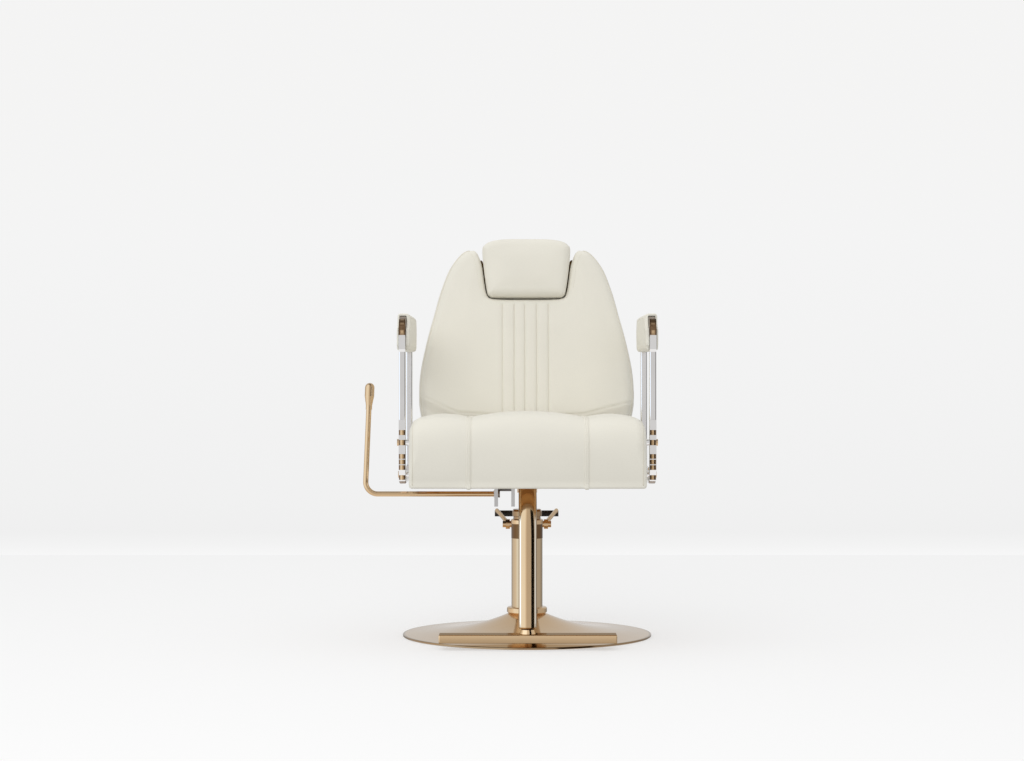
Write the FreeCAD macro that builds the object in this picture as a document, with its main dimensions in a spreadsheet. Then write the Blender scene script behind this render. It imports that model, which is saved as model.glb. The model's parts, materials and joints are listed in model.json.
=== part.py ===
import FreeCAD, Part
import math
import os
import Sketcher
from FreeCAD import Placement, Rotation, Vector

# Reclining styling chair on a round base, with a foot-pumped hydraulic column, a footrest and
# a backrest reclined by a lever. Millimetres, +Z up, origin on the floor at the centre of the base.
# The sitter faces -Y. The recline lever is on the -X side, the sitter's right.
# In piece names, left (-X) and right (+X) are as seen from the front.

doc = FreeCAD.newDocument("styling_chair")
sheet = doc.addObject("Spreadsheet::Sheet", "sheet")

# (alias, value); _rad is a radius, _half a half width, _low/_top are heights, _in/_out are
# inner/outer, _front/_rear are Y places (depths from the hinge for the backrest and headrest)
DIMENSIONS = [
    # base
    ("base_rad", 300), ("base_rim_top", 6), ("base_rim_low", 1),
    ("flare_mid_rad", 160), ("flare_mid_z", 19.6), ("flare_top_rad", 46), ("flare_top_z", 54),
    ("flare_arc_in", 475.6), ("flare_arc_out", 995),
    ("weight_rad", 225), ("weight_low", 0), ("weight_top", 8.5),
    ("ring_in", 270), ("ring_out", 286), ("ring_top", 3.2),
    ("flange_rad", 55), ("flange_top", 16.5), ("flange_bolt_pcr", 46), ("flange_bolt_rad", 4),
    ("collar_rad", 48.5), ("collar_top", 70),
    # pump
    ("tube_rad", 37.5), ("tube_wall", 3), ("tube_top", 236),
    ("inner_rad", 22), ("inner_bore", 18.05), ("inner_top", 250),
    ("rod_rad", 15), ("rod_top", 376),
    ("piston_rad", 17.6), ("piston_low", 30), ("piston_high", 50), ("seal_rad", 18),
    ("head_rad", 38), ("head_top", 306),
    ("axle_rad", 8), ("axle_y", 40), ("axle_z", 267), ("axle_half", 59),
    ("plunger_y", 56.7), ("plunger_rad", 4), ("plunger_top", 265.9),
    # pedal
    ("tread_y", 140), ("tread_z", 287), ("tread_rad", 7.5), ("tread_half", 79),
    ("pedal_core", 4), ("pedal_arm_rad", 5),
    # seat
    ("seat_half", 275), ("seat_front", -300), ("seat_rear", 150), ("seat_low", 369),
    ("seat_top", 541), ("board_low", 403), ("board_top", 418), ("frame_low", 388),
    ("plate_low", 380), ("hub_rad", 20), ("hub_low", 322), ("run_gap", 0.05),
    # backrest and headrest
    ("lean", 12), ("pivot_y", 215), ("pivot_z", 430),
    ("back_front", -66), ("board_front", 3), ("back_rear", 20), ("board_rear", 15),
    ("frame_rear", 21), ("cover_rear", 33), ("hinge_pin_rad", 6),
    ("guide_x", 45), ("guide_w", -25), ("post_rad", 5), ("guide_rad", 7),
    ("head_front", -78), ("head_rear", -8),
    # arms
    ("arm_in", 285), ("arm_out", 301), ("arm_front", -190), ("arm_rear", 190),
    ("arm_low", 374), ("arm_high", 768), ("arm_bar", 24), ("arm_corner", 45),
    ("pad_in", 275.5), ("pad_out", 306), ("pad_low", 688), ("pad_top", 775), ("trim_depth", 8),
    # footrest
    ("post_half_w", 21), ("post_half_d", 12.5), ("post_y", -262), ("post_low", 45),
    ("bend_rad", 150), ("bend_z", 244.3), ("bend_turn", 36), ("bend_rad_high", 70),
    ("post_slope", 2), ("bar_half", 204), ("bar_front", -308), ("bar_rear", -256),
    ("bar_low", 16), ("bar_top", 35.5),
    # recline
    ("lever_y", -110), ("lever_z", 348), ("lever_rad", 6.25), ("lever_out", -383),
    ("lever_bend", 28), ("lever_top", 560), ("lever_lean", 2.4),
    ("gas_x", -54), ("gas_z", 366), ("gas_rad", 11), ("gas_front", -64), ("gas_end", 110),
    ("gas_rod_rad", 4),
]


class Size:
    """A number together with the spreadsheet expression that gives it."""

    def __init__(self, number, text):
        self.number, self.text = float(number), text

    @staticmethod
    def of(value):
        return value if isinstance(value, Size) else Size(value, "(%r)" % float(value))

    def __add__(self, other):
        other = Size.of(other)
        return Size(self.number + other.number, f"({self.text} + {other.text})")

    __radd__ = __add__

    def __sub__(self, other):
        other = Size.of(other)
        return Size(self.number - other.number, f"({self.text} - {other.text})")

    def __rsub__(self, other):
        return Size.of(other) - self

    def __mul__(self, other):
        other = Size.of(other)
        return Size(self.number * other.number, f"({self.text} * {other.text})")

    def __truediv__(self, other):
        other = Size.of(other)
        return Size(self.number / other.number, f"({self.text} / {other.text})")

    def __neg__(self):
        return Size(-self.number, f"(0 - {self.text})")


class Dimensions:
    """The driving dimensions: one Size for each spreadsheet alias."""


dim = Dimensions()
for row, (alias, value) in enumerate(DIMENSIONS, start=1):
    sheet.set(f"A{row}", alias.replace("_", " "))
    sheet.set(f"B{row}", str(value))
    sheet.setAlias(f"B{row}", alias)
    setattr(dim, alias, Size(value, "sheet." + alias))
doc.recompute()


# ---------------------------------------------------------------- solids and booleans
def num(value):
    return value.number if isinstance(value, Size) else float(value)


def bind(obj, prop, value):
    """Drives a property from the spreadsheet if its value is a Size."""
    if isinstance(value, Size):
        obj.setExpression(prop, value.text)


def place(obj, x, y, z, rotation=None):
    obj.Placement = Placement(Vector(num(x), num(y), num(z)), rotation or Rotation())
    for axis, value in (("x", x), ("y", y), ("z", z)):
        bind(obj, "Placement.Base." + axis, value)


def span(side, inner, outer):
    """X ends, in rising order, of something between two distances out on the +1 or -1 side."""
    return (inner, outer) if side > 0 else (-outer, -inner)


def box(name, x_ends, y_ends, z_ends):
    obj = doc.addObject("Part::Box", name)
    for prop, (low, high) in (("Length", x_ends), ("Width", y_ends), ("Height", z_ends)):
        length = Size.of(high) - Size.of(low)
        setattr(obj, prop, length.number)
        bind(obj, prop, length)
    place(obj, x_ends[0], y_ends[0], z_ends[0])
    return obj


TURN_FROM_Z = {
    "Z": Rotation(),
    "X": Rotation(Vector(0, 1, 0), 90),
    "Y": Rotation(Vector(1, 0, 0), -90),
}


def cyl(name, axis, radius, start, length):
    """Cylinder that runs along +axis from the start point."""
    obj = doc.addObject("Part::Cylinder", name)
    obj.Radius, obj.Height = num(radius), num(length)
    bind(obj, "Radius", radius)
    bind(obj, "Height", length)
    place(obj, *start, TURN_FROM_Z[axis])
    return obj


def x_cyl(name, radius, x_ends, y, z):
    return cyl(name, "X", radius, (x_ends[0], y, z), x_ends[1] - x_ends[0])


def rod(name, radius, start, end):
    """Cylinder between two points, which stay where they are first put."""
    start, end = Vector(*map(num, start)), Vector(*map(num, end))
    obj = doc.addObject("Part::Cylinder", name)
    obj.Radius, obj.Height = num(radius), (end - start).Length
    bind(obj, "Radius", radius)
    obj.Placement = Placement(start, Rotation(Vector(0, 0, 1), end - start))
    return obj


def cut(name, base, *tools):
    for i, tool in enumerate(tools):
        last = i == len(tools) - 1
        obj = doc.addObject("Part::Cut", name if last else f"{name}_cut{i}")
        obj.Base, obj.Tool = base, tool
        base = obj
    return base


def fuse(name, *shapes):
    obj = doc.addObject("Part::MultiFuse", name)
    obj.Shapes = list(shapes)
    obj.Refine = True
    return obj


def group(name, *shapes):
    obj = doc.addObject("Part::Compound", name)
    obj.Links = list(shapes)
    return obj


# ---------------------------------------------------------------- sketches and bodies
def sketch_on(body, name, role, lift=0):
    """Sketch on an origin plane of the body, lifted along the plane's normal."""
    plane = [f for f in body.Origin.OriginFeatures if f.Role == role][0]
    sketch = body.newObject("Sketcher::SketchObject", name)
    sketch.AttachmentSupport = [(plane, "")]
    sketch.MapMode = "FlatFace"
    sketch.AttachmentOffset = Placement(Vector(0, 0, num(lift)), Rotation())
    bind(sketch, "AttachmentOffset.Base.z", lift)
    return sketch


def point_constraints(geometry, end, x, y):
    """(constraint, value) pairs that hold a sketch point at x, y."""
    pairs = []
    for value, kind, axis in ((x, "DistanceX", -2), (y, "DistanceY", -1)):
        if abs(num(value)) < 1e-9:
            pairs.append((Sketcher.Constraint("PointOnObject", geometry, end, axis), None))
        elif num(value) > 0:
            constraint = Sketcher.Constraint(kind, -1, 1, geometry, end, num(value))
            pairs.append((constraint, value))
        else:
            constraint = Sketcher.Constraint(kind, geometry, end, -1, 1, -num(value))
            pairs.append((constraint, -value))
    return pairs


def add_constraints(sketch, pairs):
    first = len(sketch.Constraints)
    sketch.addConstraint([constraint for constraint, value in pairs])
    for i, (constraint, value) in enumerate(pairs, start=first):
        bind(sketch, f"Constraints[{i}]", value)


def arc_between(start, end, radius, side):
    """Arc with its centre on the left (side 1) or right (side -1) of the way from start to end."""
    chord = end - start
    left = Vector(-chord.y, chord.x, 0).normalize()
    rise = math.sqrt(max(radius**2 - (chord.Length / 2) ** 2, 0))
    centre = (start + end) * 0.5 + left * (rise * side)
    first, last = (start, end) if side > 0 else (end, start)
    angle0 = math.atan2(first.y - centre.y, first.x - centre.x)
    angle1 = math.atan2(last.y - centre.y, last.x - centre.x)
    if angle1 < angle0:
        angle1 += 2 * math.pi
    return Part.ArcOfCircle(Part.Circle(centre, Vector(0, 0, 1), radius), angle0, angle1)


def outline(sketch, points, closed=True):
    """Draws a chain of lines and arcs. A point is (x, y), or (x, y, radius, side) where an arc
    leaves it; side is as in arc_between."""
    count = len(points)
    edge_count = count if closed else count - 1
    geometry, ends, radii = [], [], []
    for i in range(edge_count):
        here, there = points[i], points[(i + 1) % count]
        start = Vector(num(here[0]), num(here[1]), 0)
        end = Vector(num(there[0]), num(there[1]), 0)
        if len(here) == 4:
            radius, side = here[2:]
            geometry.append(arc_between(start, end, num(radius), side))
            ends.append((1, 2) if side > 0 else (2, 1))
            radii.append((Sketcher.Constraint("Radius", i, num(radius)), radius))
        else:
            geometry.append(Part.LineSegment(start, end))
            ends.append((1, 2))
    sketch.addGeometry(geometry, False)
    pairs = []
    for i in range(edge_count if closed else edge_count - 1):
        after = (i + 1) % edge_count
        joint = Sketcher.Constraint("Coincident", i, ends[i][1], after, ends[after][0])
        pairs.append((joint, None))
    for i, point in enumerate(points):
        edge, end = (i, ends[i][0]) if i < edge_count else (edge_count - 1, ends[-1][1])
        pairs += point_constraints(edge, end, point[0], point[1])
    add_constraints(sketch, pairs + radii)
    return sketch


def circle(sketch, x, y, radius):
    ring = Part.Circle(Vector(num(x), num(y), 0), Vector(0, 0, 1), num(radius))
    index = sketch.addGeometry(ring, False)
    size = (Sketcher.Constraint("Radius", index, num(radius)), radius)
    add_constraints(sketch, [size] + point_constraints(index, 3, x, y))


def turned(name, points):
    """Body turned about the Z axis from a half section of (radius, height) points."""
    body = doc.addObject("PartDesign::Body", name)
    sketch = outline(sketch_on(body, name + "_section", "XZ_Plane"), points)
    doc.recompute()
    turn = body.newObject("PartDesign::Revolution", name + "_turn")
    turn.Profile = sketch
    turn.ReferenceAxis = (sketch, ["V_Axis"])
    turn.Angle = 360
    sketch.Visibility = False
    return body


def padded(name, role, points, start, length, holes=()):
    """Body padded from a flat outline; holes are (x, y, radius) circles in the sketch. YZ sketches
    use (y, z) and grow along +X; XZ ones (x, z), along -Y; XY ones (x, y), along +Z."""
    body = doc.addObject("PartDesign::Body", name)
    sketch = outline(sketch_on(body, name + "_outline", role, start), points)
    for hole in holes:
        circle(sketch, *hole)
    doc.recompute()
    pad = body.newObject("PartDesign::Pad", name + "_pad")
    pad.Profile = sketch
    pad.Length = num(length)
    bind(pad, "Length", length)
    doc.recompute()
    body.Tip = pad
    return body


def round_edges(body, chosen, radius, name):
    tip = body.Tip
    doc.recompute()
    edges = [f"Edge{i}" for i, edge in enumerate(tip.Shape.Edges, start=1) if chosen(edge)]
    fillet = body.newObject("PartDesign::Fillet", name)
    fillet.Base = (tip, edges)
    fillet.Radius = radius
    doc.recompute()
    body.Tip = fillet
    return body


def is_end_edge(edge):
    """True for an edge that lies in a plane square to X."""
    return edge.BoundBox.XLength < 0.01


def swept(name, profile, path, edge_count):
    doc.recompute()
    sweep = doc.addObject("Part::Sweep", name)
    sweep.Sections = [profile]
    sweep.Spine = (path, [f"Edge{i + 1}" for i in range(edge_count)])
    sweep.Solid = True
    sweep.Frenet = False
    doc.recompute()
    return sweep


finished = []


def finish(node, obj):
    """Labels a finished piece and lists it for export."""
    obj.Label = node
    finished.append((obj, node))
    return obj


def piece(build):
    """Decorator: builds the piece at once, finishes it under the function's name, and leaves that
    name standing for the document object."""
    return finish(build.__name__, build())


SIDES = (-1, 1)
FIT_GAP = 0.05  # radial gap around pieces that do not turn


# ---------------------------------------------------------------- base
@piece
def base_cover():
    bore = 39
    return turned("base_cover_body", [
        (bore, dim.flare_top_z),
        (dim.flare_top_rad, dim.flare_top_z, dim.flare_arc_in, 1),
        (dim.flare_mid_rad, dim.flare_mid_z, dim.flare_arc_out, 1),
        (dim.base_rad - 1.5, dim.base_rim_top, 1.6, -1),
        (dim.base_rad, dim.base_rim_top - 1.5), (dim.base_rad, dim.base_rim_low + 1),
        (dim.base_rad - 1, dim.base_rim_low), (294, dim.base_rim_low), (293, 3.4),
        (dim.flare_mid_rad, dim.flare_mid_z - 4), (70, 37), (50, 45), (bore, 46)])


FLANGE_BOLTS = [(dim.flange_bolt_pcr * math.cos(math.radians(angle)),
                 dim.flange_bolt_pcr * math.sin(math.radians(angle)))
                for angle in (45, 135, 225, 315)]


def flange_bolt_holes(prefix, low, length):
    return [cyl(f"{prefix}{i}", "Z", dim.flange_bolt_rad, (x, y, low), length)
            for i, (x, y) in enumerate(FLANGE_BOLTS)]


@piece
def base_weight():
    disc = cyl("weight_disc", "Z", dim.weight_rad, (0, 0, dim.weight_low),
               dim.weight_top - dim.weight_low)
    return cut("base_weight_cut", disc, *flange_bolt_holes("weight_hole", -1, 12))


@piece
def floor_ring():
    # the top slopes up inwards under the base cover
    return turned("floor_ring_body", [
        (dim.ring_in, 0), (dim.ring_out, 0), (dim.ring_out, dim.ring_top + 0.8),
        (dim.ring_in, dim.ring_top + 2.25)])


@piece
def pump_flange():
    disc = cyl("flange_disc", "Z", dim.flange_rad, (0, 0, dim.weight_top),
               dim.flange_top - dim.weight_top)
    return cut("pump_flange_cut", disc, *flange_bolt_holes("flange_hole", 5, 20))


@piece
def flange_bolts():
    shank_low, hex_rad, hex_height = 1.5, 7.2, 6
    bolts = []
    for i, (x, y) in enumerate(FLANGE_BOLTS):
        shank = cyl(f"flange_shank{i}", "Z", dim.flange_bolt_rad, (x, y, shank_low),
                    dim.flange_top - shank_low)
        head = doc.addObject("Part::Prism", f"flange_hex{i}")
        head.Polygon, head.Circumradius, head.Height = 6, hex_rad, hex_height
        place(head, x, y, dim.flange_top)
        bolts.append(fuse(f"flange_bolt{i}", shank, head))
    return group("flange_bolts_set", *bolts)


@piece
def base_collar():
    bore, edge = dim.tube_rad + FIT_GAP, 4
    return turned("collar_body", [
        (bore, dim.flare_top_z), (dim.collar_rad - edge, dim.flare_top_z),
        (dim.collar_rad, dim.flare_top_z + edge),
        (dim.collar_rad, dim.collar_top - edge, edge, 1),
        (dim.collar_rad - edge, dim.collar_top), (bore, dim.collar_top)])


# ---------------------------------------------------------------- hydraulic pump
GLAND_LOW, GLAND_TOP, GLAND_RAD = 250.5, 264, 18
WIPER_LOW, WIPER_RAD = 299, 19
BUSH_RAD, BUSH_IN, BUSH_OUT = 10, 21, 32


def tube_section(inner, outer, low, top):
    return [(inner, low), (outer, low), (outer, top), (inner, top)]


@piece
def pump_tube():
    return turned("pump_tube_body", tube_section(
        dim.tube_rad - dim.tube_wall, dim.tube_rad, dim.flange_top, dim.tube_top))


@piece
def inner_cylinder():
    return turned("inner_cylinder_body", tube_section(
        dim.inner_bore, dim.inner_rad, dim.flange_top, dim.inner_top))


@piece
def pump_head():
    rod_clear = dim.rod_rad + 0.8
    lip = dim.head_rad + 0.8
    round_head = turned("head_turn_body", [
        (dim.inner_rad + FIT_GAP, dim.tube_top), (dim.head_rad, dim.tube_top),
        (dim.head_rad, 270), (lip, 271.5), (lip, 280), (dim.head_rad - 1, 281.5),
        (33, 282.5), (33, 288.5), (36, 290), (36, 301), (33, dim.head_top),
        (WIPER_RAD, dim.head_top), (WIPER_RAD, WIPER_LOW), (rod_clear, WIPER_LOW),
        (rod_clear, GLAND_TOP), (GLAND_RAD, GLAND_TOP), (GLAND_RAD, GLAND_LOW),
        (dim.inner_rad + FIT_GAP, GLAND_LOW)])
    # block behind the round head, for the axle and the plunger
    block = box("head_block", (-32, 32), (24, 72), (206, 292))
    block = cut("head_block_cut", block,
                cyl("head_core_clear", "Z", 30, (0, 0, 200), 100),
                cyl("head_tube_clear", "Z", dim.tube_rad, (0, 0, 200), dim.tube_top - 200))
    whole = fuse("head_fused", round_head, block)
    tools = [
        x_cyl("axle_clear", dim.axle_rad + 0.2, (-45, 45), dim.axle_y, dim.axle_z),
        box("cam_slot", (-9.5, 9.5), (26, 68), (248, 300)),
        cyl("plunger_bore", "Z", dim.plunger_rad + FIT_GAP, (0, dim.plunger_y, 212), 60)]
    for letter, side in (("l", -1), ("r", 1)):
        tools.append(x_cyl("bush_seat_" + letter, BUSH_RAD, span(side, BUSH_IN, BUSH_OUT + 1),
                           dim.axle_y, dim.axle_z))
    return cut("pump_head_cut", whole, *tools)


@piece
def gland_bush():
    bore = dim.rod_rad + dim.run_gap
    return turned("gland_body", tube_section(bore, GLAND_RAD, GLAND_LOW, GLAND_TOP))


@piece
def wiper_seal():
    bore = dim.rod_rad + 0.1
    return turned("wiper_body", [
        (bore, WIPER_LOW), (WIPER_RAD, WIPER_LOW), (WIPER_RAD, 307),
        (dim.rod_rad + 2.5, 308.5), (bore, 307.5)])


@piece
def pedal_bushes():
    bushes = []
    for letter, side in (("l", -1), ("r", 1)):
        outside = x_cyl("bush_" + letter, BUSH_RAD, span(side, BUSH_IN, BUSH_OUT),
                        dim.axle_y, dim.axle_z)
        bore = x_cyl(f"bush_{letter}_bore", dim.axle_rad + dim.run_gap,
                     span(side, BUSH_IN - 1, BUSH_OUT + 1), dim.axle_y, dim.axle_z)
        bushes.append(cut("pedal_bush_" + letter, outside, bore))
    return group("pedal_bush_set", *bushes)


@piece
def pump_plunger():
    stem_low, head_rad, head_height = 222, 6, 3
    stem = cyl("plunger_stem", "Z", dim.plunger_rad, (0, dim.plunger_y, stem_low),
               dim.plunger_top - stem_low)
    head = cyl("plunger_head", "Z", head_rad,
               (0, dim.plunger_y, dim.plunger_top - head_height), head_height)
    return fuse("plunger_fused", stem, head)


@piece
def plunger_spring():
    # a stack of disc springs in one bellows-shaped piece returns the plunger
    half_waves, rise, wall, low = 8, 1.84, 0.45, 248.05
    narrow, wide = 4.35, 5.9
    inside = [(narrow if i % 2 else wide, low + rise * i) for i in range(half_waves + 1)]
    outside = [(radius + wall, z) for radius, z in reversed(inside)]
    stack = turned("plunger_spring_body", inside + outside)
    place(stack, 0, dim.plunger_y, 0)
    return stack


# ---------------------------------------------------------------- foot pedal
@piece
def pedal_axle():
    return x_cyl("axle_bar", dim.axle_rad, (-dim.axle_half, dim.axle_half),
                 dim.axle_y, dim.axle_z)


@piece
def pedal_frame():
    hub_rad, hub_in, hub_out = 12, 41.5, 51.5
    arm_x, elbow_x, elbow_y, elbow_z = 46, 73.5, 131, 295
    arms = []
    for side in SIDES:
        elbow = (side * elbow_x, elbow_y, elbow_z)
        hub = x_cyl(f"pedal_hub{side + 1}", hub_rad, span(side, hub_in, hub_out),
                    dim.axle_y, dim.axle_z)
        arm = rod(f"pedal_rod{side + 1}", dim.pedal_arm_rad,
                  (side * arm_x, dim.axle_y + 6, dim.axle_z + 2), elbow)
        joint = doc.addObject("Part::Sphere", f"pedal_tip{side + 1}")
        joint.Radius = num(dim.pedal_arm_rad)
        joint.Placement = Placement(Vector(*elbow), Rotation())
        drop = rod(f"pedal_drop{side + 1}", dim.pedal_arm_rad, elbow,
                   (side * elbow_x, dim.tread_y, dim.tread_z))
        arms += [hub, arm, joint, drop]
    core_half = dim.tread_half - 2
    core = x_cyl("pedal_core", dim.pedal_core, (-core_half, core_half), dim.tread_y, dim.tread_z)
    bore = x_cyl("pedal_frame_bore", dim.axle_rad, (-60, 60), dim.axle_y, dim.axle_z)
    return cut("pedal_frame_cut", fuse("pedal_frame_raw", core, *arms), bore)


@piece
def pedal_tread():
    sleeve = x_cyl("tread_sleeve", dim.tread_rad, (-dim.tread_half, dim.tread_half),
                   dim.tread_y, dim.tread_z)
    return cut("pedal_tread_cut", sleeve, pedal_frame)


@piece
def pedal_cam():
    half_width, hub_rad = 7, 10.5
    reach, rise, tip_half, tip_rad = 17, math.radians(11), 4, 4.2
    hub = x_cyl("cam_hub", hub_rad, (-half_width, half_width), dim.axle_y, dim.axle_z)
    tip_y = dim.axle_y + reach * math.cos(rise)
    tip_z = dim.axle_z + reach * math.sin(rise)
    finger = padded("cam_finger_body", "YZ_Plane", [
        (dim.axle_y + 9, dim.axle_z + 1.5), (tip_y, tip_z - tip_half, tip_rad, 1),
        (tip_y, tip_z + tip_half), (dim.axle_y, dim.axle_z + 10), (dim.axle_y, dim.axle_z)],
        -half_width, 2 * half_width)
    bore = x_cyl("cam_bore", dim.axle_rad, (-10, 10), dim.axle_y, dim.axle_z)
    return cut("pedal_cam_cut", fuse("cam_raw", hub, finger), bore)


# ---------------------------------------------------------------- ram
GROOVE_RAD, GROOVE_LOW, GROOVE_TOP = 15.5, 36, 44


@piece
def piston_rod():
    return turned("piston_rod_body", [
        (0, dim.piston_low), (dim.piston_rad, dim.piston_low), (dim.piston_rad, GROOVE_LOW),
        (GROOVE_RAD, GROOVE_LOW), (GROOVE_RAD, GROOVE_TOP), (dim.piston_rad, GROOVE_TOP),
        (dim.piston_rad, dim.piston_high), (dim.rod_rad, dim.piston_high),
        (dim.rod_rad, dim.rod_top - 2), (dim.rod_rad - 2, dim.rod_top), (0, dim.rod_top)])


@piece
def piston_seal():
    return turned("piston_seal_body", [
        (GROOVE_RAD, GROOVE_LOW), (dim.seal_rad, GROOVE_LOW), (dim.seal_rad, GROOVE_TOP),
        (GROOVE_RAD, GROOVE_TOP)])


# ---------------------------------------------------------------- seat structure
MOUNT_BOLTS = [(x, y) for y in (-80, 80) for x in (-85, 85)]
BOLT_RAD = 4  # mounting bolts and arm bolts
RAIL_IN, RAIL_OUT = 220, 240
RAIL_MID = (dim.frame_low + dim.board_low) / 2
BOARD_HALF = 262
BOARD_ENDS = (-284, 143)
SIDE_BOARD_IN, SIDE_BOARD_TOP = 250, 486
SIDE_BOARD_ENDS = (-245, 130)
# arm bolts: (y, z, x of the spacer's inner end, x of the bolt's inner end)
ARM_BOLTS = (
    (-130, RAIL_MID, RAIL_OUT, 222),
    (120, RAIL_MID, RAIL_OUT, 222),
    (-178, 472, BOARD_HALF, 251),
)
LOWER_ARM_BOLTS, FRONT_ARM_BOLT = ARM_BOLTS[:2], ARM_BOLTS[2]


@piece
def swivel_hub():
    bore = dim.rod_rad + dim.run_gap
    return turned("hub_body", tube_section(bore, dim.hub_rad, dim.hub_low, dim.plate_low))


@piece
def thrust_washer():
    low = dim.rod_top + 0.1
    return cyl("thrust_disc", "Z", dim.rod_rad - 1, (0, 0, low), dim.plate_low - low)


@piece
def mount_plate():
    half_x, half_y = 100, 95
    return padded(
        "mount_plate_body", "XY_Plane",
        [(-half_x, -half_y), (half_x, -half_y), (half_x, half_y), (-half_x, half_y)],
        dim.plate_low, dim.frame_low - dim.plate_low,
        holes=[(x, y, BOLT_RAD) for x, y in MOUNT_BOLTS])


@piece
def mount_bolts():
    length, head_rad, head_height = 20, 6.5, 5
    bolts = []
    for i, (x, y) in enumerate(MOUNT_BOLTS):
        shank = cyl(f"mount_shank{i}", "Z", BOLT_RAD, (x, y, dim.plate_low), length)
        head = cyl(f"mount_head{i}", "Z", head_rad, (x, y, dim.plate_low - head_height),
                   head_height)
        bolts.append(fuse(f"mount_bolt{i}", shank, head))
    return group("mount_bolt_set", *bolts)


@piece
def seat_frame():
    heights = (dim.frame_low, dim.board_low)
    rail_width, cross_half = RAIL_OUT - RAIL_IN, RAIL_IN + 1
    rails = [box(f"side_rail{side + 1}", span(side, RAIL_IN, RAIL_OUT), (-230, 235), heights)
             for side in SIDES]
    rails += [box(f"cross_rail{i}", (-cross_half, cross_half), (y, y + rail_width), heights)
              for i, y in enumerate((-220, -90, 70, 125))]
    holes = [cyl(f"rail_bore{i}", "Z", BOLT_RAD, (x, y, dim.plate_low), 30)
             for i, (x, y) in enumerate(MOUNT_BOLTS)]
    for side in SIDES:
        for i, (y, z, *_) in enumerate(LOWER_ARM_BOLTS):
            holes.append(x_cyl(f"arm_tap{side + 1}_{i}", BOLT_RAD,
                               span(side, RAIL_IN - 5, RAIL_OUT + 5), y, z))
    return cut("seat_frame_cut", fuse("seat_frame_raw", *rails), *holes)


@piece
def seat_board():
    return box("seat_board_box", (-BOARD_HALF, BOARD_HALF), BOARD_ENDS,
               (dim.board_low, dim.board_top))


@piece
def seat_side_boards():
    y, z = FRONT_ARM_BOLT[:2]
    boards = []
    for side in SIDES:
        board = box(f"side_board{side + 1}", span(side, SIDE_BOARD_IN, BOARD_HALF),
                    SIDE_BOARD_ENDS, (dim.board_top, SIDE_BOARD_TOP))
        hole = x_cyl(f"side_board_hole{side + 1}", BOLT_RAD, span(side, 245, 265), y, z)
        boards.append(cut(f"side_board_cut{side + 1}", board, hole))
    return group("seat_side_board_set", *boards)


@piece
def seat_cushion():
    front, rear, low, top = dim.seat_front, dim.seat_rear, dim.seat_low, dim.seat_top
    nose, round_low, round_rad = 58, 480, 20

    def upper_side_edge(edge):
        bounds = edge.BoundBox
        at_side = abs(abs(bounds.XMin) - dim.seat_half.number) < 0.1
        return bounds.XLength < 1 and at_side and bounds.ZMin > round_low

    block = padded("seat_block_body", "YZ_Plane", [
        (front + 6, low), (rear, low), (rear + 2, low + 92), (rear + 13, top - 18),
        (rear - 6, top - 4), (front + nose + 4, top, nose, 1), (front + 2, top - nose),
        (front, (low + top) / 2)], -dim.seat_half, dim.seat_half * 2)
    round_edges(block, upper_side_edge, round_rad, "seat_block_round")
    hollow = (360, dim.board_top)
    tools = [box("seat_recess", (-BOARD_HALF, BOARD_HALF), BOARD_ENDS, hollow),
             box("rail_exit", (-250, 250), (140, 160), hollow)]
    for letter, side in (("l", -1), ("r", 1)):
        tools.append(box("side_pocket_" + letter, span(side, SIDE_BOARD_IN, BOARD_HALF),
                         SIDE_BOARD_ENDS, (400, SIDE_BOARD_TOP)))
    # holes for the arm spacers
    for side in SIDES:
        for i, (y, z, *_) in enumerate(ARM_BOLTS):
            tools.append(x_cyl(f"skirt_hole{side + 1}_{i}", SPACER_RAD, span(side, 258, 280), y, z)
                         if False else x_cyl(f"skirt_hole{side + 1}_{i}", 7,
                                             span(side, 258, 280), y, z))
    return cut("seat_cushion_cut", block, *tools)


# ---------------------------------------------------------------- arms
SPACER_RAD = 7
CAP_RAD, CAP_HEIGHT = 8, 4
# inset of the middle of a corner arc from the corner's square point
LOOP_CORNER_MID, TRIM_CORNER_MID = 13.18, 7.5
# (low, top) of each ferrule
FERRULES = ((489.8, 501.5), (466, 478.5), (434.5, 445.4), (421.5, 432.5), (408.5, 419.5),
            (385, 396))
# (low, y where the groove ends) of each groove between the ribs of the corner cap
CAP_GROOVES = ((728.5, -195), (738.5, -194.4), (747.5, -192), (756.5, -187.5))


def through_arm(side):
    """X ends of a tool that passes right through an arm loop."""
    return span(side, dim.arm_in - 5, dim.arm_out + 5)


def rounded_window(inset):
    """Outline of the arm loop, set in by the given amount."""
    front, rear, low, high = dim.arm_front, dim.arm_rear, dim.arm_low, dim.arm_high
    corner = dim.arm_corner
    radius = corner - inset
    return [
        (front + corner, low + inset), (rear - corner, low + inset, radius, 1),
        (rear - inset, low + corner), (rear - inset, high - corner, radius, 1),
        (rear - corner, high - inset), (front + corner, high - inset, radius, 1),
        (front + inset, high - corner), (front + inset, low + corner, radius, 1)]


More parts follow.
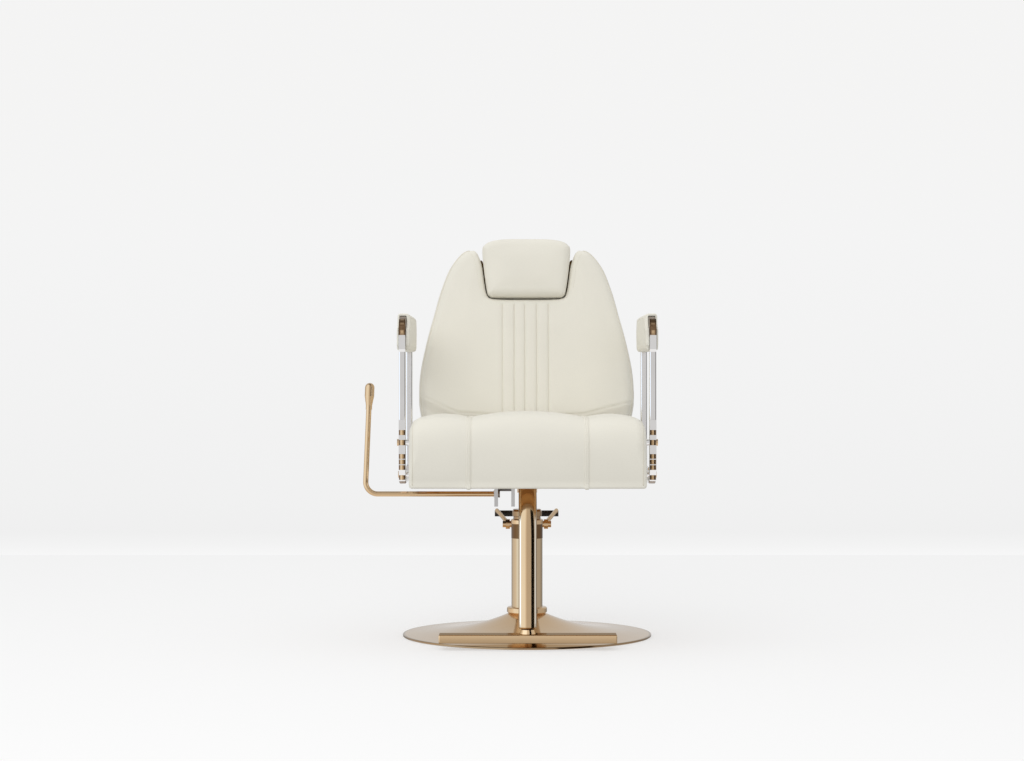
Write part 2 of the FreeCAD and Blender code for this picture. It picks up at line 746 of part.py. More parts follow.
def arm_loop(side_name, side):
    start = span(side, dim.arm_in, dim.arm_out)[0]
    loop = padded("arm_loop_body_" + side_name, "YZ_Plane", rounded_window(0), start,
                  dim.arm_out - dim.arm_in)
    window = sketch_on(loop, "arm_window_" + side_name, "YZ_Plane", start)
    outline(window, rounded_window(dim.arm_bar))
    doc.recompute()
    pocket = loop.newObject("PartDesign::Pocket", "arm_window_cut_" + side_name)
    pocket.Profile = window
    pocket.Type = 1  # through all
    pocket.Midplane = True
    doc.recompute()
    loop.Tip = pocket
    round_edges(loop, is_end_edge, 3, "arm_soft_edge_" + side_name)
    bores = [x_cyl(f"arm_bore_{side_name}{i}", BOLT_RAD, through_arm(side), y, z)
             for i, (y, z, *_) in enumerate(ARM_BOLTS)]
    # lugs on the bottom bar carry the two lower bolts
    lugs = [box(f"arm_lug_{side_name}{i}", span(side, dim.arm_in + 2, dim.arm_out - 2),
                (y - 12, y + 12), (394, 406))
            for i, (y, *_) in enumerate(LOWER_ARM_BOLTS)]
    whole = fuse("arm_loop_fused_" + side_name, loop, *lugs)
    return cut("arm_loop_cut_" + side_name, whole, *bores)


def arm_spacers(side_name, side):
    """The lower spacers reach in to the side rails, the front one to the side board."""
    spacers = []
    for i, (y, z, inner, _) in enumerate(ARM_BOLTS):
        outside = x_cyl(f"spacer_{side_name}{i}", SPACER_RAD, span(side, inner, dim.arm_in), y, z)
        bore = x_cyl(f"spacer_bore_{side_name}{i}", BOLT_RAD,
                     span(side, inner - 1, dim.arm_in + 1), y, z)
        spacers.append(cut(f"standoff_{side_name}{i}", outside, bore))
    return spacers


def arm_side_bolts(side_name, side):
    bolts = []
    for i, (y, z, _, inner) in enumerate(ARM_BOLTS):
        stem = x_cyl(f"arm_stem_{side_name}{i}", BOLT_RAD, span(side, inner, dim.arm_out), y, z)
        cap = x_cyl(f"arm_cap_{side_name}{i}", CAP_RAD,
                    span(side, dim.arm_out, dim.arm_out + CAP_HEIGHT), y, z)
        bolts.append(fuse(f"arm_bolt_{side_name}{i}", stem, cap))
    return bolts


def trim_strip(name, side, points):
    """Strip a little narrower than the arm loop."""
    start = span(side, dim.arm_in, dim.arm_out)[0] + 0.4
    return padded(name, "YZ_Plane", points, start, dim.arm_out - dim.arm_in - 0.8)


def nose_strip(side_name, side):
    """Strip just below the upper front corner."""
    front = dim.arm_front
    face, top = front - dim.trim_depth, dim.arm_high - dim.arm_corner
    return trim_strip("trim_nose_body_" + side_name, side, [
        (face + 3, 684), (front, 688), (front, top), (face, top), (face, 690)])


def lower_strip(side_name, side):
    """Strip up the front of the loop from the middle of its lower corner."""
    front, low, corner = dim.arm_front, dim.arm_low, dim.arm_corner
    face = front - dim.trim_depth
    return trim_strip("trim_lower_body_" + side_name, side, [
        (face + 3, 525), (face, 518), (face, low + corner, corner + dim.trim_depth, 1),
        (front + TRIM_CORNER_MID, low + TRIM_CORNER_MID),
        (front + LOOP_CORNER_MID, low + LOOP_CORNER_MID, corner, -1),
        (front, low + corner), (front, 520)])


def corner_strip(side_name, side):
    """Uncut cap over the front half of the upper front corner."""
    front, high, corner = dim.arm_front, dim.arm_high, dim.arm_corner
    return trim_strip("corner_cap_body_" + side_name, side, [
        (front, high - corner, corner, -1), (front + LOOP_CORNER_MID, high - LOOP_CORNER_MID),
        (front + TRIM_CORNER_MID, high - TRIM_CORNER_MID, corner + dim.trim_depth, 1),
        (front - dim.trim_depth, high - corner)])


def slots_and_ferrules(side_name, side):
    """Slots in the lower strip, and the half-round ferrules that fill them."""
    middle_x = (dim.arm_in + dim.arm_out) / 2 * side
    through, radius = through_arm(side), 7.5
    slots, ferrules = [], []
    for i, (low, top) in enumerate(FERRULES):
        # the lowest one sits further back, where the strip follows the corner of the loop
        seat_y = dim.arm_front - 1.5 + (6 if i == 5 else 0)
        slots.append(box(f"ferrule_slot_{side_name}{i}", through,
                         (dim.arm_front - 15, seat_y), (low, top)))
        barrel = cyl(f"ferrule_barrel_{side_name}{i}", "Z", radius,
                     (middle_x, seat_y, low + FIT_GAP), top - low - 2 * FIT_GAP)
        flat = box(f"ferrule_flat_{side_name}{i}", through,
                   (seat_y, dim.arm_front + 20), (low - 1, top + 1))
        ferrules.append(cut(f"ferrule_{side_name}{i}", barrel, flat))
    return slots, ferrules


def ribbed_cap(side_name, side, strip):
    grooves = [box(f"cap_rib_{side_name}{i}", through_arm(side),
                   (dim.arm_front - 15, end_y), (low, low + 2.2))
               for i, (low, end_y) in enumerate(CAP_GROOVES)]
    return cut("corner_cap_cut_" + side_name, strip, *grooves)


def arm_pad(side_name, side, *tools):
    front, rear, low, top = -186, 200, dim.pad_low, dim.pad_top
    block = padded("pad_block_body_" + side_name, "YZ_Plane", [
        (front + 10, low), (rear - 22, low, 22, 1),
        (rear, low + 22), (rear, top - 26, 26, 1),
        (rear - 26, top), (front + 36, top, 36, 1),
        (front, top - 36), (front, low + 10, 10, 1)],
        span(side, dim.pad_in, dim.pad_out)[0], dim.pad_out - dim.pad_in)
    round_edges(block, is_end_edge, 5, "pad_soft_edge_" + side_name)
    return cut("arm_pad_cut_" + side_name, block, *tools)


spacers, bolts, inlays = [], [], []
for side_name, side in (("left", -1), ("right", 1)):
    loop = finish("arm_loop_" + side_name, arm_loop(side_name, side))
    spacers += arm_spacers(side_name, side)
    bolts += arm_side_bolts(side_name, side)
    nose = nose_strip(side_name, side)
    lower = lower_strip(side_name, side)
    slots, ferrules = slots_and_ferrules(side_name, side)
    lower = cut("trim_lower_cut_" + side_name, lower, *slots)
    finish("arm_trim_" + side_name, group("arm_trim_set_" + side_name, nose, lower))
    corner = corner_strip(side_name, side)
    inlays += ferrules + [ribbed_cap(side_name, side, corner)]
    finish("arm_pad_" + side_name, arm_pad(side_name, side, loop, corner, nose))
finish("arm_standoffs", group("arm_standoff_set", *spacers))
finish("arm_bolts", group("arm_bolt_set", *bolts))
finish("arm_ferrules", group("arm_inlay_set", *inlays))


# ---------------------------------------------------------------- footrest
def swept_post():
    """Oval post with a long easy bend, then a tighter one under the seat, then a nearly level run
    to the clamp block."""
    spine = doc.addObject("Sketcher::SketchObject", "post_spine")
    # sketch x and y become Y and Z
    spine.Placement = Placement(Vector(0, 0, 0), Rotation(Vector(1, 1, 1), 120))
    low_rad, high_rad = dim.bend_rad, dim.bend_rad_high
    turn = math.radians(dim.bend_turn.number)
    slope = math.radians(dim.post_slope.number)
    joint_y = dim.post_y + low_rad - low_rad * math.cos(turn)
    joint_z = dim.bend_z + low_rad * math.sin(turn)
    level_y = joint_y + high_rad * math.cos(turn) - high_rad * math.sin(slope)
    level_z = joint_z - high_rad * math.sin(turn) + high_rad * math.cos(slope)
    end_y = -36.0
    end_z = level_z.number + (end_y - level_y.number) * math.tan(slope)
    outline(spine, [
        (dim.post_y, dim.post_low), (dim.post_y, dim.bend_z, low_rad, -1),
        (joint_y, joint_z, high_rad, -1), (level_y, level_z), (end_y, end_z)], closed=False)
    oval = doc.addObject("Part::Ellipse", "post_oval")
    oval.MajorRadius, oval.MinorRadius = num(dim.post_half_w), num(dim.post_half_d)
    bind(oval, "MajorRadius", dim.post_half_w)
    bind(oval, "MinorRadius", dim.post_half_d)
    place(oval, 0, dim.post_y, dim.post_low)
    return swept("footrest_post_sweep", oval, spine, 4)


post_sweep = swept_post()


@piece
def footrest_post():
    foot_round = 4.0
    rounded = doc.addObject("Part::Fillet", "post_foot_round")
    rounded.Base = post_sweep
    rounded.Edges = [(i, foot_round, foot_round)
                     for i, edge in enumerate(post_sweep.Shape.Edges, start=1)
                     if edge.BoundBox.ZMax < dim.post_low.number + 0.01]
    doc.recompute()
    return rounded


@piece
def footrest_bracket():
    block = box("foot_block", (-23.5, 23.5), (-84, -37), (350, dim.plate_low))
    return cut("footrest_bracket_cut", block, post_sweep)


@piece
def footrest_bar():
    front, rear, low, top, corner = dim.bar_front, dim.bar_rear, dim.bar_low, dim.bar_top, 4
    bar = padded("footrest_bar_body", "YZ_Plane", [
        (front + corner, low), (rear - corner, low, corner, 1),
        (rear, low + corner), (rear, top - corner, corner, 1),
        (rear - corner, top), (front + corner, top, corner, 1),
        (front, top - corner), (front, low + corner, corner, 1)],
        -dim.bar_half, dim.bar_half * 2)
    round_edges(bar, is_end_edge, 2, "bar_soft_edge")
    boss_y, sunk = -274, 2
    boss = doc.addObject("Part::Cone", "foot_boss")
    boss.Radius1, boss.Radius2 = 19, 15
    bind(boss, "Height", dim.post_low - top + sunk)
    place(boss, 0, boss_y, top - sunk)
    return fuse("footrest_bar_fused", bar, boss)


# ---------------------------------------------------------------- recline mechanism under the seat
LEVER_BUSH_RAD = 8.5
PLATES_X = ((-78, -69.5), (-38, -29.5))
PIN_RAD = 4
ARM_SWING = 27.5  # degrees from the backrest's own down direction to the strut arm
# the strut pin lies this many times the arm's swing arc behind the hinge
PIN_REACH = 1.0615
HINGE_DROP = dim.pivot_z - dim.gas_z
PIN_Y = dim.pivot_y + HINGE_DROP * math.radians(ARM_SWING) * PIN_REACH


@piece
def recline_bracket():
    front = -128
    plates = []
    for i, (left, right) in enumerate(PLATES_X):
        # only the outer plate carries the lever
        holes = [(dim.lever_y, dim.lever_z, LEVER_BUSH_RAD)] if i == 0 else ()
        plates.append(padded(f"recline_plate{i}_body", "YZ_Plane", [
            (front, 319), (-64, 319), (-50, 350), (-50, dim.plate_low), (front, dim.plate_low)],
            left, right - left, holes=holes))
    return group("recline_bracket_set", *plates)


@piece
def lever_bushes():
    outside = x_cyl("lever_bush_out", LEVER_BUSH_RAD, (-79.5, -69.5), dim.lever_y, dim.lever_z)
    bore = x_cyl("lever_bush_in", dim.lever_rad + dim.run_gap, (-86, -68),
                 dim.lever_y, dim.lever_z)
    return cut("lever_bush_cut", outside, bore)


def gas_cyl(name, radius, start_y, length):
    """Cylinder on the gas strut's axis."""
    return cyl(name, "Y", radius, (dim.gas_x, start_y, dim.gas_z), length)


@piece
def gas_head():
    between_plates = (PLATES_X[0][1], PLATES_X[1][0])
    block = box("gas_head_box", between_plates, (-90, dim.gas_front), (353.5, 378))
    return cut("gas_head_cut", block, gas_cyl("button_bore", 3.1, -95, 22))


@piece
def gas_cylinder():
    wall, end_wall = 2, 8
    length = dim.gas_end - dim.gas_front
    tube = gas_cyl("gas_tube", dim.gas_rad, dim.gas_front, length)
    bore = gas_cyl("gas_tube_bore", dim.gas_rad - wall, dim.gas_front + end_wall,
                   length - 2 * end_wall)
    eye = gas_cyl("gas_tube_eye", dim.gas_rod_rad + dim.run_gap, 90, 40)
    return cut("gas_cylinder_cut", tube, bore, eye)


@piece
def gas_rod():
    stem_front = 25
    stem = gas_cyl("gas_stem", dim.gas_rod_rad, stem_front, 201)
    piston = gas_cyl("gas_piston", dim.gas_rad - 2.1, stem_front, 12)
    fork = box("gas_fork", (-67, -41), (222, PIN_Y + 9), (357, 375))
    gap = box("gas_fork_gap", (-59.5, -48.5), (230, PIN_Y + 12), (350, 382))
    pin_hole = x_cyl("gas_pin_hole", PIN_RAD, (-70, -38), PIN_Y, dim.gas_z)
    return cut("gas_rod_cut", fuse("gas_rod_raw", stem, piston, fork), gap, pin_hole)


@piece
def gas_pin():
    return x_cyl("gas_pin_bar", PIN_RAD, (-69, -39), PIN_Y, dim.gas_z)


@piece
def gas_saddle():
    block = box("gas_saddle_box", (-66, -42), (76, 92), (dim.gas_z, dim.plate_low))
    return cut("gas_saddle_cut", block, gas_cyl("gas_saddle_bore", dim.gas_rad, 70, 30))


@piece
def release_button():
    return gas_cyl("button_stem", 3, -100.7, 20)


# ---------------------------------------------------------------- recline lever
LEVER_END_X = -65
LEVER_LEAN = math.radians(dim.lever_lean.number)
bend_end_x = dim.lever_out + dim.lever_bend - dim.lever_bend * math.cos(LEVER_LEAN)
lever_rise = dim.lever_top - dim.lever_z - dim.lever_bend
lever_top_x = bend_end_x + lever_rise * math.tan(LEVER_LEAN)


@piece
def recline_lever():
    bend = dim.lever_bend
    path = doc.addObject("Sketcher::SketchObject", "lever_spine")
    path.Placement = Placement(Vector(0, num(dim.lever_y), 0), Rotation(Vector(1, 0, 0), 90))
    bind(path, "Placement.Base.y", dim.lever_y)
    outline(path, [
        (LEVER_END_X, dim.lever_z), (dim.lever_out + bend, dim.lever_z, bend, -1),
        (bend_end_x, dim.lever_z + bend + bend * math.sin(LEVER_LEAN)),
        (lever_top_x, dim.lever_top)], closed=False)
    ring = doc.addObject("Part::Circle", "lever_ring")
    ring.Radius = num(dim.lever_rad)
    bind(ring, "Radius", dim.lever_rad)
    place(ring, LEVER_END_X, dim.lever_y, dim.lever_z, TURN_FROM_Z["X"])
    return swept("lever_sweep", ring, path, 3)


@piece
def lever_grip():
    neck_rad, full_rad = 7.4, 11.2
    base = Placement(
        Vector(lever_top_x.number - 0.6, num(dim.lever_y), dim.lever_top.number - 16),
        Rotation(Vector(0, 1, 0), math.degrees(LEVER_LEAN)))

    def on_grip(kind, name, height, **sizes):
        obj = doc.addObject("Part::" + kind, name)
        for prop, size in sizes.items():
            setattr(obj, prop, size)
        obj.Placement = base.multiply(Placement(Vector(0, 0, height), Rotation()))
        return obj

    grip = fuse(
        "grip_raw",
        on_grip("Cylinder", "grip_collar", 4, Radius=neck_rad, Height=10),
        on_grip("Cone", "grip_taper", 14, Radius1=neck_rad, Radius2=full_rad, Height=22),
        on_grip("Cylinder", "grip_barrel", 36, Radius=full_rad, Height=20),
        on_grip("Sphere", "grip_end", 56, Radius=full_rad))
    return cut("lever_grip_cut", grip, recline_lever)


@piece
def lever_cam():
    ends = (LEVER_END_X - 4, LEVER_END_X)
    depth = (dim.lever_y + 2, dim.lever_y + 9)
    top = dim.lever_z + 25
    hub = x_cyl("lever_cam_hub", 8.5, ends, dim.lever_y, dim.lever_z)
    rise = box("lever_cam_rise", ends, depth, (dim.lever_z, top))
    finger = box("lever_cam_finger", (-65.5, -50), depth, (dim.lever_z + 12, top))
    return cut("lever_cam_cut", fuse("lever_cam_raw", hub, rise, finger), recline_lever)


# ---------------------------------------------------------------- backrest
# Built in its own frame, with its origin at the hinge: y runs rearwards and z up the back.
LEAN = dim.lean.number
LEAN_FRAME = Placement(Vector(0, num(dim.pivot_y), num(dim.pivot_z)),
                       Rotation(Vector(1, 0, 0), -LEAN))
# +X half of the back outline, from the bottom up: (x, z)
BACK_HALF = [
    (205, 22), (238, 36), (256, 64), (266, 104), (270, 139), (270, 179), (267, 216), (260, 261),
    (250, 307), (238, 353), (228, 400), (215, 437), (200, 468), (182, 493), (164, 513),
    (150, 522), (138, 523), (127, 516), (121, 505), (112, 477), (106, 434), (101, 408),
    (92, 395), (60, 391.5)]


def leaning(obj):
    """Moves a shape built in the backrest's frame to its place on the chair."""
    obj.Placement = LEAN_FRAME
    bind(obj, "Placement.Base.y", dim.pivot_y)
    bind(obj, "Placement.Base.z", dim.pivot_z)
    return obj


def both_sides(half, middle):
    """The half outline, the middle point, then the half mirrored in X."""
    return half + [middle] + [(-x, z) for x, z in reversed(half)]


def inset(points, distance, low):
    """The outline moved inwards by roughly the given distance, and kept above low."""
    moved = []
    for i, (x, z) in enumerate(points):
        before, after = points[i - 1], points[(i + 1) % len(points)]
        dx, dz = after[0] - before[0], after[1] - before[1]
        size = math.hypot(dx, dz)
        moved.append((x - dz / size * distance, max(z + dx / size * distance, low)))
    return moved


def back_slab(name, points, front, rear):
    # XZ sketches grow along -Y, so the pad starts at the rear face
    return padded(name, "XZ_Plane", points, -rear, rear - front)


def at_guides(prefix, radius, low, length):
    """Upright cylinders at the two headrest guides."""
    return [cyl(f"{prefix}{i}", "Z", radius, (x, dim.guide_w, low), length)
            for i, x in enumerate((-dim.guide_x, dim.guide_x))]


BACK_OUTLINE = both_sides(BACK_HALF, (0, 391))


@piece
def back_board():
    return leaning(back_slab("back_board_body", inset(BACK_OUTLINE, 14, 34),
                             dim.board_front, dim.board_rear))


@piece
def back_cushion():
    block = back_slab("back_block_body", BACK_OUTLINE, dim.back_front, dim.back_rear)
    well = back_slab("back_well_body", inset(BACK_OUTLINE, 13, 33),
                     dim.board_front, dim.back_rear + 1)
    slot_depth = (dim.board_front, 25)
    arm_slot = box("strut_arm_slot", (-61, -47), slot_depth, (15, 45))
    flat_slots = [box(f"flat_slot{side + 1}", span(side, 205, 237), slot_depth, (15, 80))
                  for side in SIDES]
    guide_holes = at_guides("guide_hole", dim.guide_rad, 215, 200)
    return leaning(cut("back_cushion_cut", block, well, arm_slot, *flat_slots, *guide_holes))


@piece
def rear_cover():
    return leaning(back_slab("rear_cover_body", inset(BACK_OUTLINE, 5, 26),
                             dim.frame_rear, dim.cover_rear))


def slotted_strut_arm():
    """Arm for the gas strut, swung so that it points straight back from its down direction."""
    swing = math.radians(ARM_SWING + LEAN)

    def arm_point(across, down):
        """Point of the arm: down is from the hinge along the arm, across is rearwards."""
        return (across * math.cos(swing) + down * math.sin(swing),
                across * math.sin(swing) - down * math.cos(swing))

    slot_in = HINGE_DROP - 1.5
    slot_out = HINGE_DROP / math.cos(math.radians(ARM_SWING)) + 1.5
    arm = padded("strut_arm_body", "YZ_Plane", [
        arm_point(-11, 0), arm_point(-11, slot_out + 4), arm_point(-5, slot_out + 10),
        arm_point(5, slot_out + 10), arm_point(11, slot_out + 4), arm_point(11, 10),
        (20.5, 12), (20.5, 40), (15.5, 40), (15.5, 20), (4, 14)], -58, 8)
    slot = padded("strut_slot_body", "YZ_Plane", [
        arm_point(-4.8, slot_in), arm_point(-4.8, slot_out), arm_point(-2.6, slot_out + 4),
        arm_point(2.6, slot_out + 4), arm_point(4.8, slot_out), arm_point(4.8, slot_in),
        arm_point(2.6, slot_in - 4), arm_point(-2.6, slot_in - 4)], -60, 12)
    return cut("strut_arm_cut", arm, slot)


@piece
def back_frame():
    depth = (dim.board_rear, dim.frame_rear)
    low, top, flat_out = -15, 300, 236
    parts = []
    for side in SIDES:
        parts.append(box(f"back_flat{side + 1}", span(side, 206, flat_out), depth, (low, top)))
        parts.append(box(f"back_lug{side + 1}", span(side, 230, flat_out),
                         (-14, dim.frame_rear - 1), (low, 14)))
    parts.append(box("back_cross_low", (-210, 210), depth, (36, 66)))
    parts.append(box("back_cross_high", (-210, 210), depth, (top - 30, top)))
    whole = fuse("back_frame_raw", *parts, slotted_strut_arm())
    bore = x_cyl("lug_bore", dim.hinge_pin_rad + dim.run_gap, (-245, 245), 0, 0)
    return leaning(cut("back_frame_cut", whole, bore))


@piece
def headrest_guides():
    low, length = 215, 175
    tubes = at_guides("guide_tube", dim.guide_rad, low, length)
    bores = at_guides("guide_bore", dim.post_rad + dim.run_gap, low - 1, length + 2)
    guides = [cut(f"guide{i}", tube, bore) for i, (tube, bore) in enumerate(zip(tubes, bores))]
    return leaning(group("headrest_guide_set", *guides))


# ---------------------------------------------------------------- hinges
HINGE_IN, HINGE_OUT = 240, 246


@piece
def hinge_brackets():
    front, rear, shoulder, top = 193, 235, 436, 447
    plates = [padded(f"hinge_plate{side + 1}_body", "YZ_Plane", [
        (front, dim.frame_low), (rear, dim.frame_low), (rear, shoulder), (228, top),
        (202, top), (front, shoulder)],
        span(side, HINGE_IN, HINGE_OUT)[0], HINGE_OUT - HINGE_IN,
        holes=[(dim.pivot_y, dim.pivot_z, dim.hinge_pin_rad)]) for side in SIDES]
    return group("hinge_bracket_set", *plates)


@piece
def hinge_pins():
    pins = []
    for side in SIDES:
        stem = x_cyl(f"pin_stem{side + 1}", dim.hinge_pin_rad, span(side, 226, HINGE_OUT),
                     dim.pivot_y, dim.pivot_z)
        head = x_cyl(f"pin_head{side + 1}", 9, span(side, HINGE_OUT, HINGE_OUT + 4),
                     dim.pivot_y, dim.pivot_z)
        pins.append(fuse(f"hinge_pin{side + 1}", stem, head))
    return group("hinge_pin_set", *pins)


# ---------------------------------------------------------------- headrest
# +X half of the outline in the backrest's frame, from the top down: (x, z)
HEAD_HALF = [(58, 547), (92, 541), (107, 531), (112, 518), (107, 463), (99.5, 410), (93, 399),
             (80, 395.5)]


@piece
def headrest_cushion():
    clockwise = both_sides(HEAD_HALF, (0, 395)) + [(0, 548)]
    block = back_slab("headrest_block_body", clockwise[::-1], dim.head_front, dim.head_rear)
    sockets = at_guides("post_socket", dim.post_rad, 380, 60)
    return leaning(cut("headrest_cushion_cut", block, *sockets))


@piece
def headrest_posts():
    return leaning(group("headrest_post_set", *at_guides("headrest_post", dim.post_rad, 232, 208)))


# ---------------------------------------------------------------- check and export
doc.recompute()
faults = [f"{obj.Name} ({obj.TypeId}): {obj.State}" for obj in doc.Objects
          if "Invalid" in obj.State or "Error" in obj.State]
for obj, node in finished:
    shape = obj.Shape
    if shape.isNull() or not shape.isValid() or not shape.Solids:
        faults.append(node + " has a bad shape")
if faults:
    raise SystemExit("the model failed: " + "; ".join(faults))
os.makedirs("parts", exist_ok=True)
for obj, node in finished:
    obj.Shape.exportStep(os.path.join("parts", node + ".step"))
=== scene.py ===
import json
import math

import bpy
import numpy as np
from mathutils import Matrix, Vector
from mathutils.bvhtree import BVHTree


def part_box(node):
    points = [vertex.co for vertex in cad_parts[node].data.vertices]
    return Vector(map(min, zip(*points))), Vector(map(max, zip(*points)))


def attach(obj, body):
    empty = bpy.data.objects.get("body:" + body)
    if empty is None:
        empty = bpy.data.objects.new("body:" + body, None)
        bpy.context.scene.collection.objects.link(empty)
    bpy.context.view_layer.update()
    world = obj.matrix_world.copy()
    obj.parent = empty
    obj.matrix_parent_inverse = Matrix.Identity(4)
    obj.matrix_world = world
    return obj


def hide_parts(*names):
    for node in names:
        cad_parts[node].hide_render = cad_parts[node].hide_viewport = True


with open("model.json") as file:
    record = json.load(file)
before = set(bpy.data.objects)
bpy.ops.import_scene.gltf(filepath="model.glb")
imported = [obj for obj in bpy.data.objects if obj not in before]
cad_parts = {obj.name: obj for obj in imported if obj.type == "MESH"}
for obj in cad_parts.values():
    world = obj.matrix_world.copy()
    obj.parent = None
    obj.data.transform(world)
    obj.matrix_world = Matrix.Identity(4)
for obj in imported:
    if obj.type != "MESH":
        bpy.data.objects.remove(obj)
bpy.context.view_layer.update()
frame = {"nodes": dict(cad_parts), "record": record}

NODES = frame["nodes"]
scene = bpy.context.scene
MM = 0.001


# ------------------------------------------------------------------ materials
def new_material(name):
    m = bpy.data.materials.new(name)
    m.use_nodes = True
    nt = m.node_tree
    nt.nodes.clear()
    out = nt.nodes.new("ShaderNodeOutputMaterial")
    bsdf = nt.nodes.new("ShaderNodeBsdfPrincipled")
    nt.links.new(bsdf.outputs[0], out.inputs[0])
    return m, nt, bsdf


def add(nt, kind, links=(), **values):
    """A node with some inputs set (by name or number) and some linked."""
    n = nt.nodes.new(kind)
    for key, value in values.items():
        if key.startswith("_"):
            setattr(n, key[1:], value)
    for key, value in links:
        if isinstance(value, bpy.types.NodeSocket):
            nt.links.new(value, n.inputs[key])
        else:
            n.inputs[key].default_value = value
    return n


def coords(nt, scale=(1, 1, 1)):
    tc = nt.nodes.new("ShaderNodeTexCoord")
    mp = add(nt, "ShaderNodeMapping", [("Vector", tc.outputs["Object"]), ("Scale", scale)])
    return mp.outputs[0]


def noise(nt, vec, scale, detail=3.0, rough=0.55):
    return add(nt, "ShaderNodeTexNoise", [("Vector", vec), ("Scale", scale), ("Detail", detail), ("Roughness", rough)]).outputs["Fac"]


def remap(nt, value, lo, hi, a=0.0, b=1.0):
    return add(nt, "ShaderNodeMapRange", [("Value", value), ("From Min", a), ("From Max", b), ("To Min", lo), ("To Max", hi)]).outputs[0]


def math_node(nt, op, a, b=0.0):
    return add(nt, "ShaderNodeMath", [(0, a), (1, b)], _operation=op).outputs[0]


def mix_color(nt, fac, a, b, mode="MIX"):
    n = nt.nodes.new("ShaderNodeMix")
    n.data_type = "RGBA"
    n.blend_type = mode
    for key, value in ((0, fac), (6, a), (7, b)):
        if isinstance(value, bpy.types.NodeSocket):
            nt.links.new(value, n.inputs[key])
        else:
            n.inputs[key].default_value = value if key == 0 else (*value, 1.0)
    return n.outputs[2]


def bump(nt, bsdf, height, strength, distance, normal=None):
    links = [("Height", height), ("Strength", strength), ("Distance", distance)]
    if normal is not None:
        links.append(("Normal", normal))
    n = add(nt, "ShaderNodeBump", links)
    nt.links.new(n.outputs[0], bsdf.inputs["Normal"])
    return n.outputs[0]


def set_in(bsdf, **values):
    for key, value in values.items():
        name = key.replace("_", " ")
        if name in bsdf.inputs:
            bsdf.inputs[name].default_value = value


def leather(name, color, shade=1.0):
    m, nt, b = new_material(name)
    v = coords(nt)
    # broad tone, fine mottling, and a touch darker in the creases, lighter where edges are rubbed
    broad = remap(nt, noise(nt, v, 5.0, 2.0), 0.0, 1.0, 0.3, 0.7)
    fine = noise(nt, v, 420.0, 4.0, 0.6)
    tone = mix_color(nt, broad, tuple(c * 0.975 * shade for c in color), tuple(min(c * 1.02 * shade, 1) for c in color))
    speck = mix_color(nt, remap(nt, fine, 0.0, 0.10, 0.35, 0.75), tone, tuple(c * 0.72 for c in color))
    geo = nt.nodes.new("ShaderNodeNewGeometry")
    crease = remap(nt, geo.outputs["Pointiness"], 0.55, 0.0, 0.40, 0.495)
    worn = remap(nt, geo.outputs["Pointiness"], 0.0, 0.22, 0.515, 0.60)
    c1 = mix_color(nt, crease, speck, (color[0] * 0.70, color[1] * 0.66, color[2] * 0.56))
    c2 = mix_color(nt, worn, c1, tuple(min(c * 1.05, 1.0) for c in color))
    nt.links.new(c2, b.inputs["Base Color"])
    # pebbled grain: rounded cells of about 1.1 mm with finer pores between them
    cells = add(nt, "ShaderNodeTexVoronoi", [("Vector", v), ("Scale", 880.0), ("Smoothness", 0.35)], _feature="SMOOTH_F1").outputs["Distance"]
    pores = add(nt, "ShaderNodeTexVoronoi", [("Vector", v), ("Scale", 2300.0)], _feature="F1").outputs["Distance"]
    grain = math_node(nt, "ADD", math_node(nt, "MULTIPLY", cells, -0.8), math_node(nt, "MULTIPLY", pores, -0.25))
    drape = noise(nt, v, 26.0, 3.0, 0.5)
    n1 = add(nt, "ShaderNodeBump", [("Height", drape), ("Strength", 0.25), ("Distance", 0.0012)]).outputs[0]
    bump(nt, b, grain, 0.32, 0.00022, n1)
    nt.links.new(remap(nt, noise(nt, v, 60.0, 3.0), 0.52, 0.66), b.inputs["Roughness"])
    set_in(b, Specular_IOR_Level=0.34, Sheen_Weight=0.10, Sheen_Roughness=0.5, Coat_Weight=0.0)
    return m


def metal(name, color, rough, smudge=0.05, brush=None, crease_darkening=0.35, fine_bump=0.05):
    m, nt, b = new_material(name)
    v = coords(nt)
    geo = nt.nodes.new("ShaderNodeNewGeometry")
    broad = noise(nt, v, 9.0, 3.0)
    tone = mix_color(nt, remap(nt, broad, 0.0, 1.0, 0.3, 0.7), tuple(c * 0.97 for c in color), tuple(min(c * 1.03, 1) for c in color))
    # darker in creases and hollows, found from pointiness
    crease = remap(nt, geo.outputs["Pointiness"], crease_darkening, 0.0, 0.40, 0.49)
    edge = remap(nt, geo.outputs["Pointiness"], 0.0, 0.5, 0.52, 0.62)
    c1 = mix_color(nt, crease, tone, tuple(c * 0.45 for c in color))
    c2 = mix_color(nt, edge, c1, tuple(min(c * 1.12 + 0.03, 1) for c in color))
    nt.links.new(c2, b.inputs["Base Color"])
    set_in(b, Metallic=1.0)
    # polishing haze and finger marks in the roughness, hairline polishing marks in the bump
    haze = remap(nt, noise(nt, v, 34.0, 5.0, 0.6), rough - smudge * 0.5, rough + smudge)
    nt.links.new(haze, b.inputs["Roughness"])
    stretched = coords(nt, brush or (1.0, 1.0, 0.08))
    lines = noise(nt, stretched, 1500.0, 2.0, 0.5)
    bump(nt, b, lines, fine_bump, 0.00003)
    return m


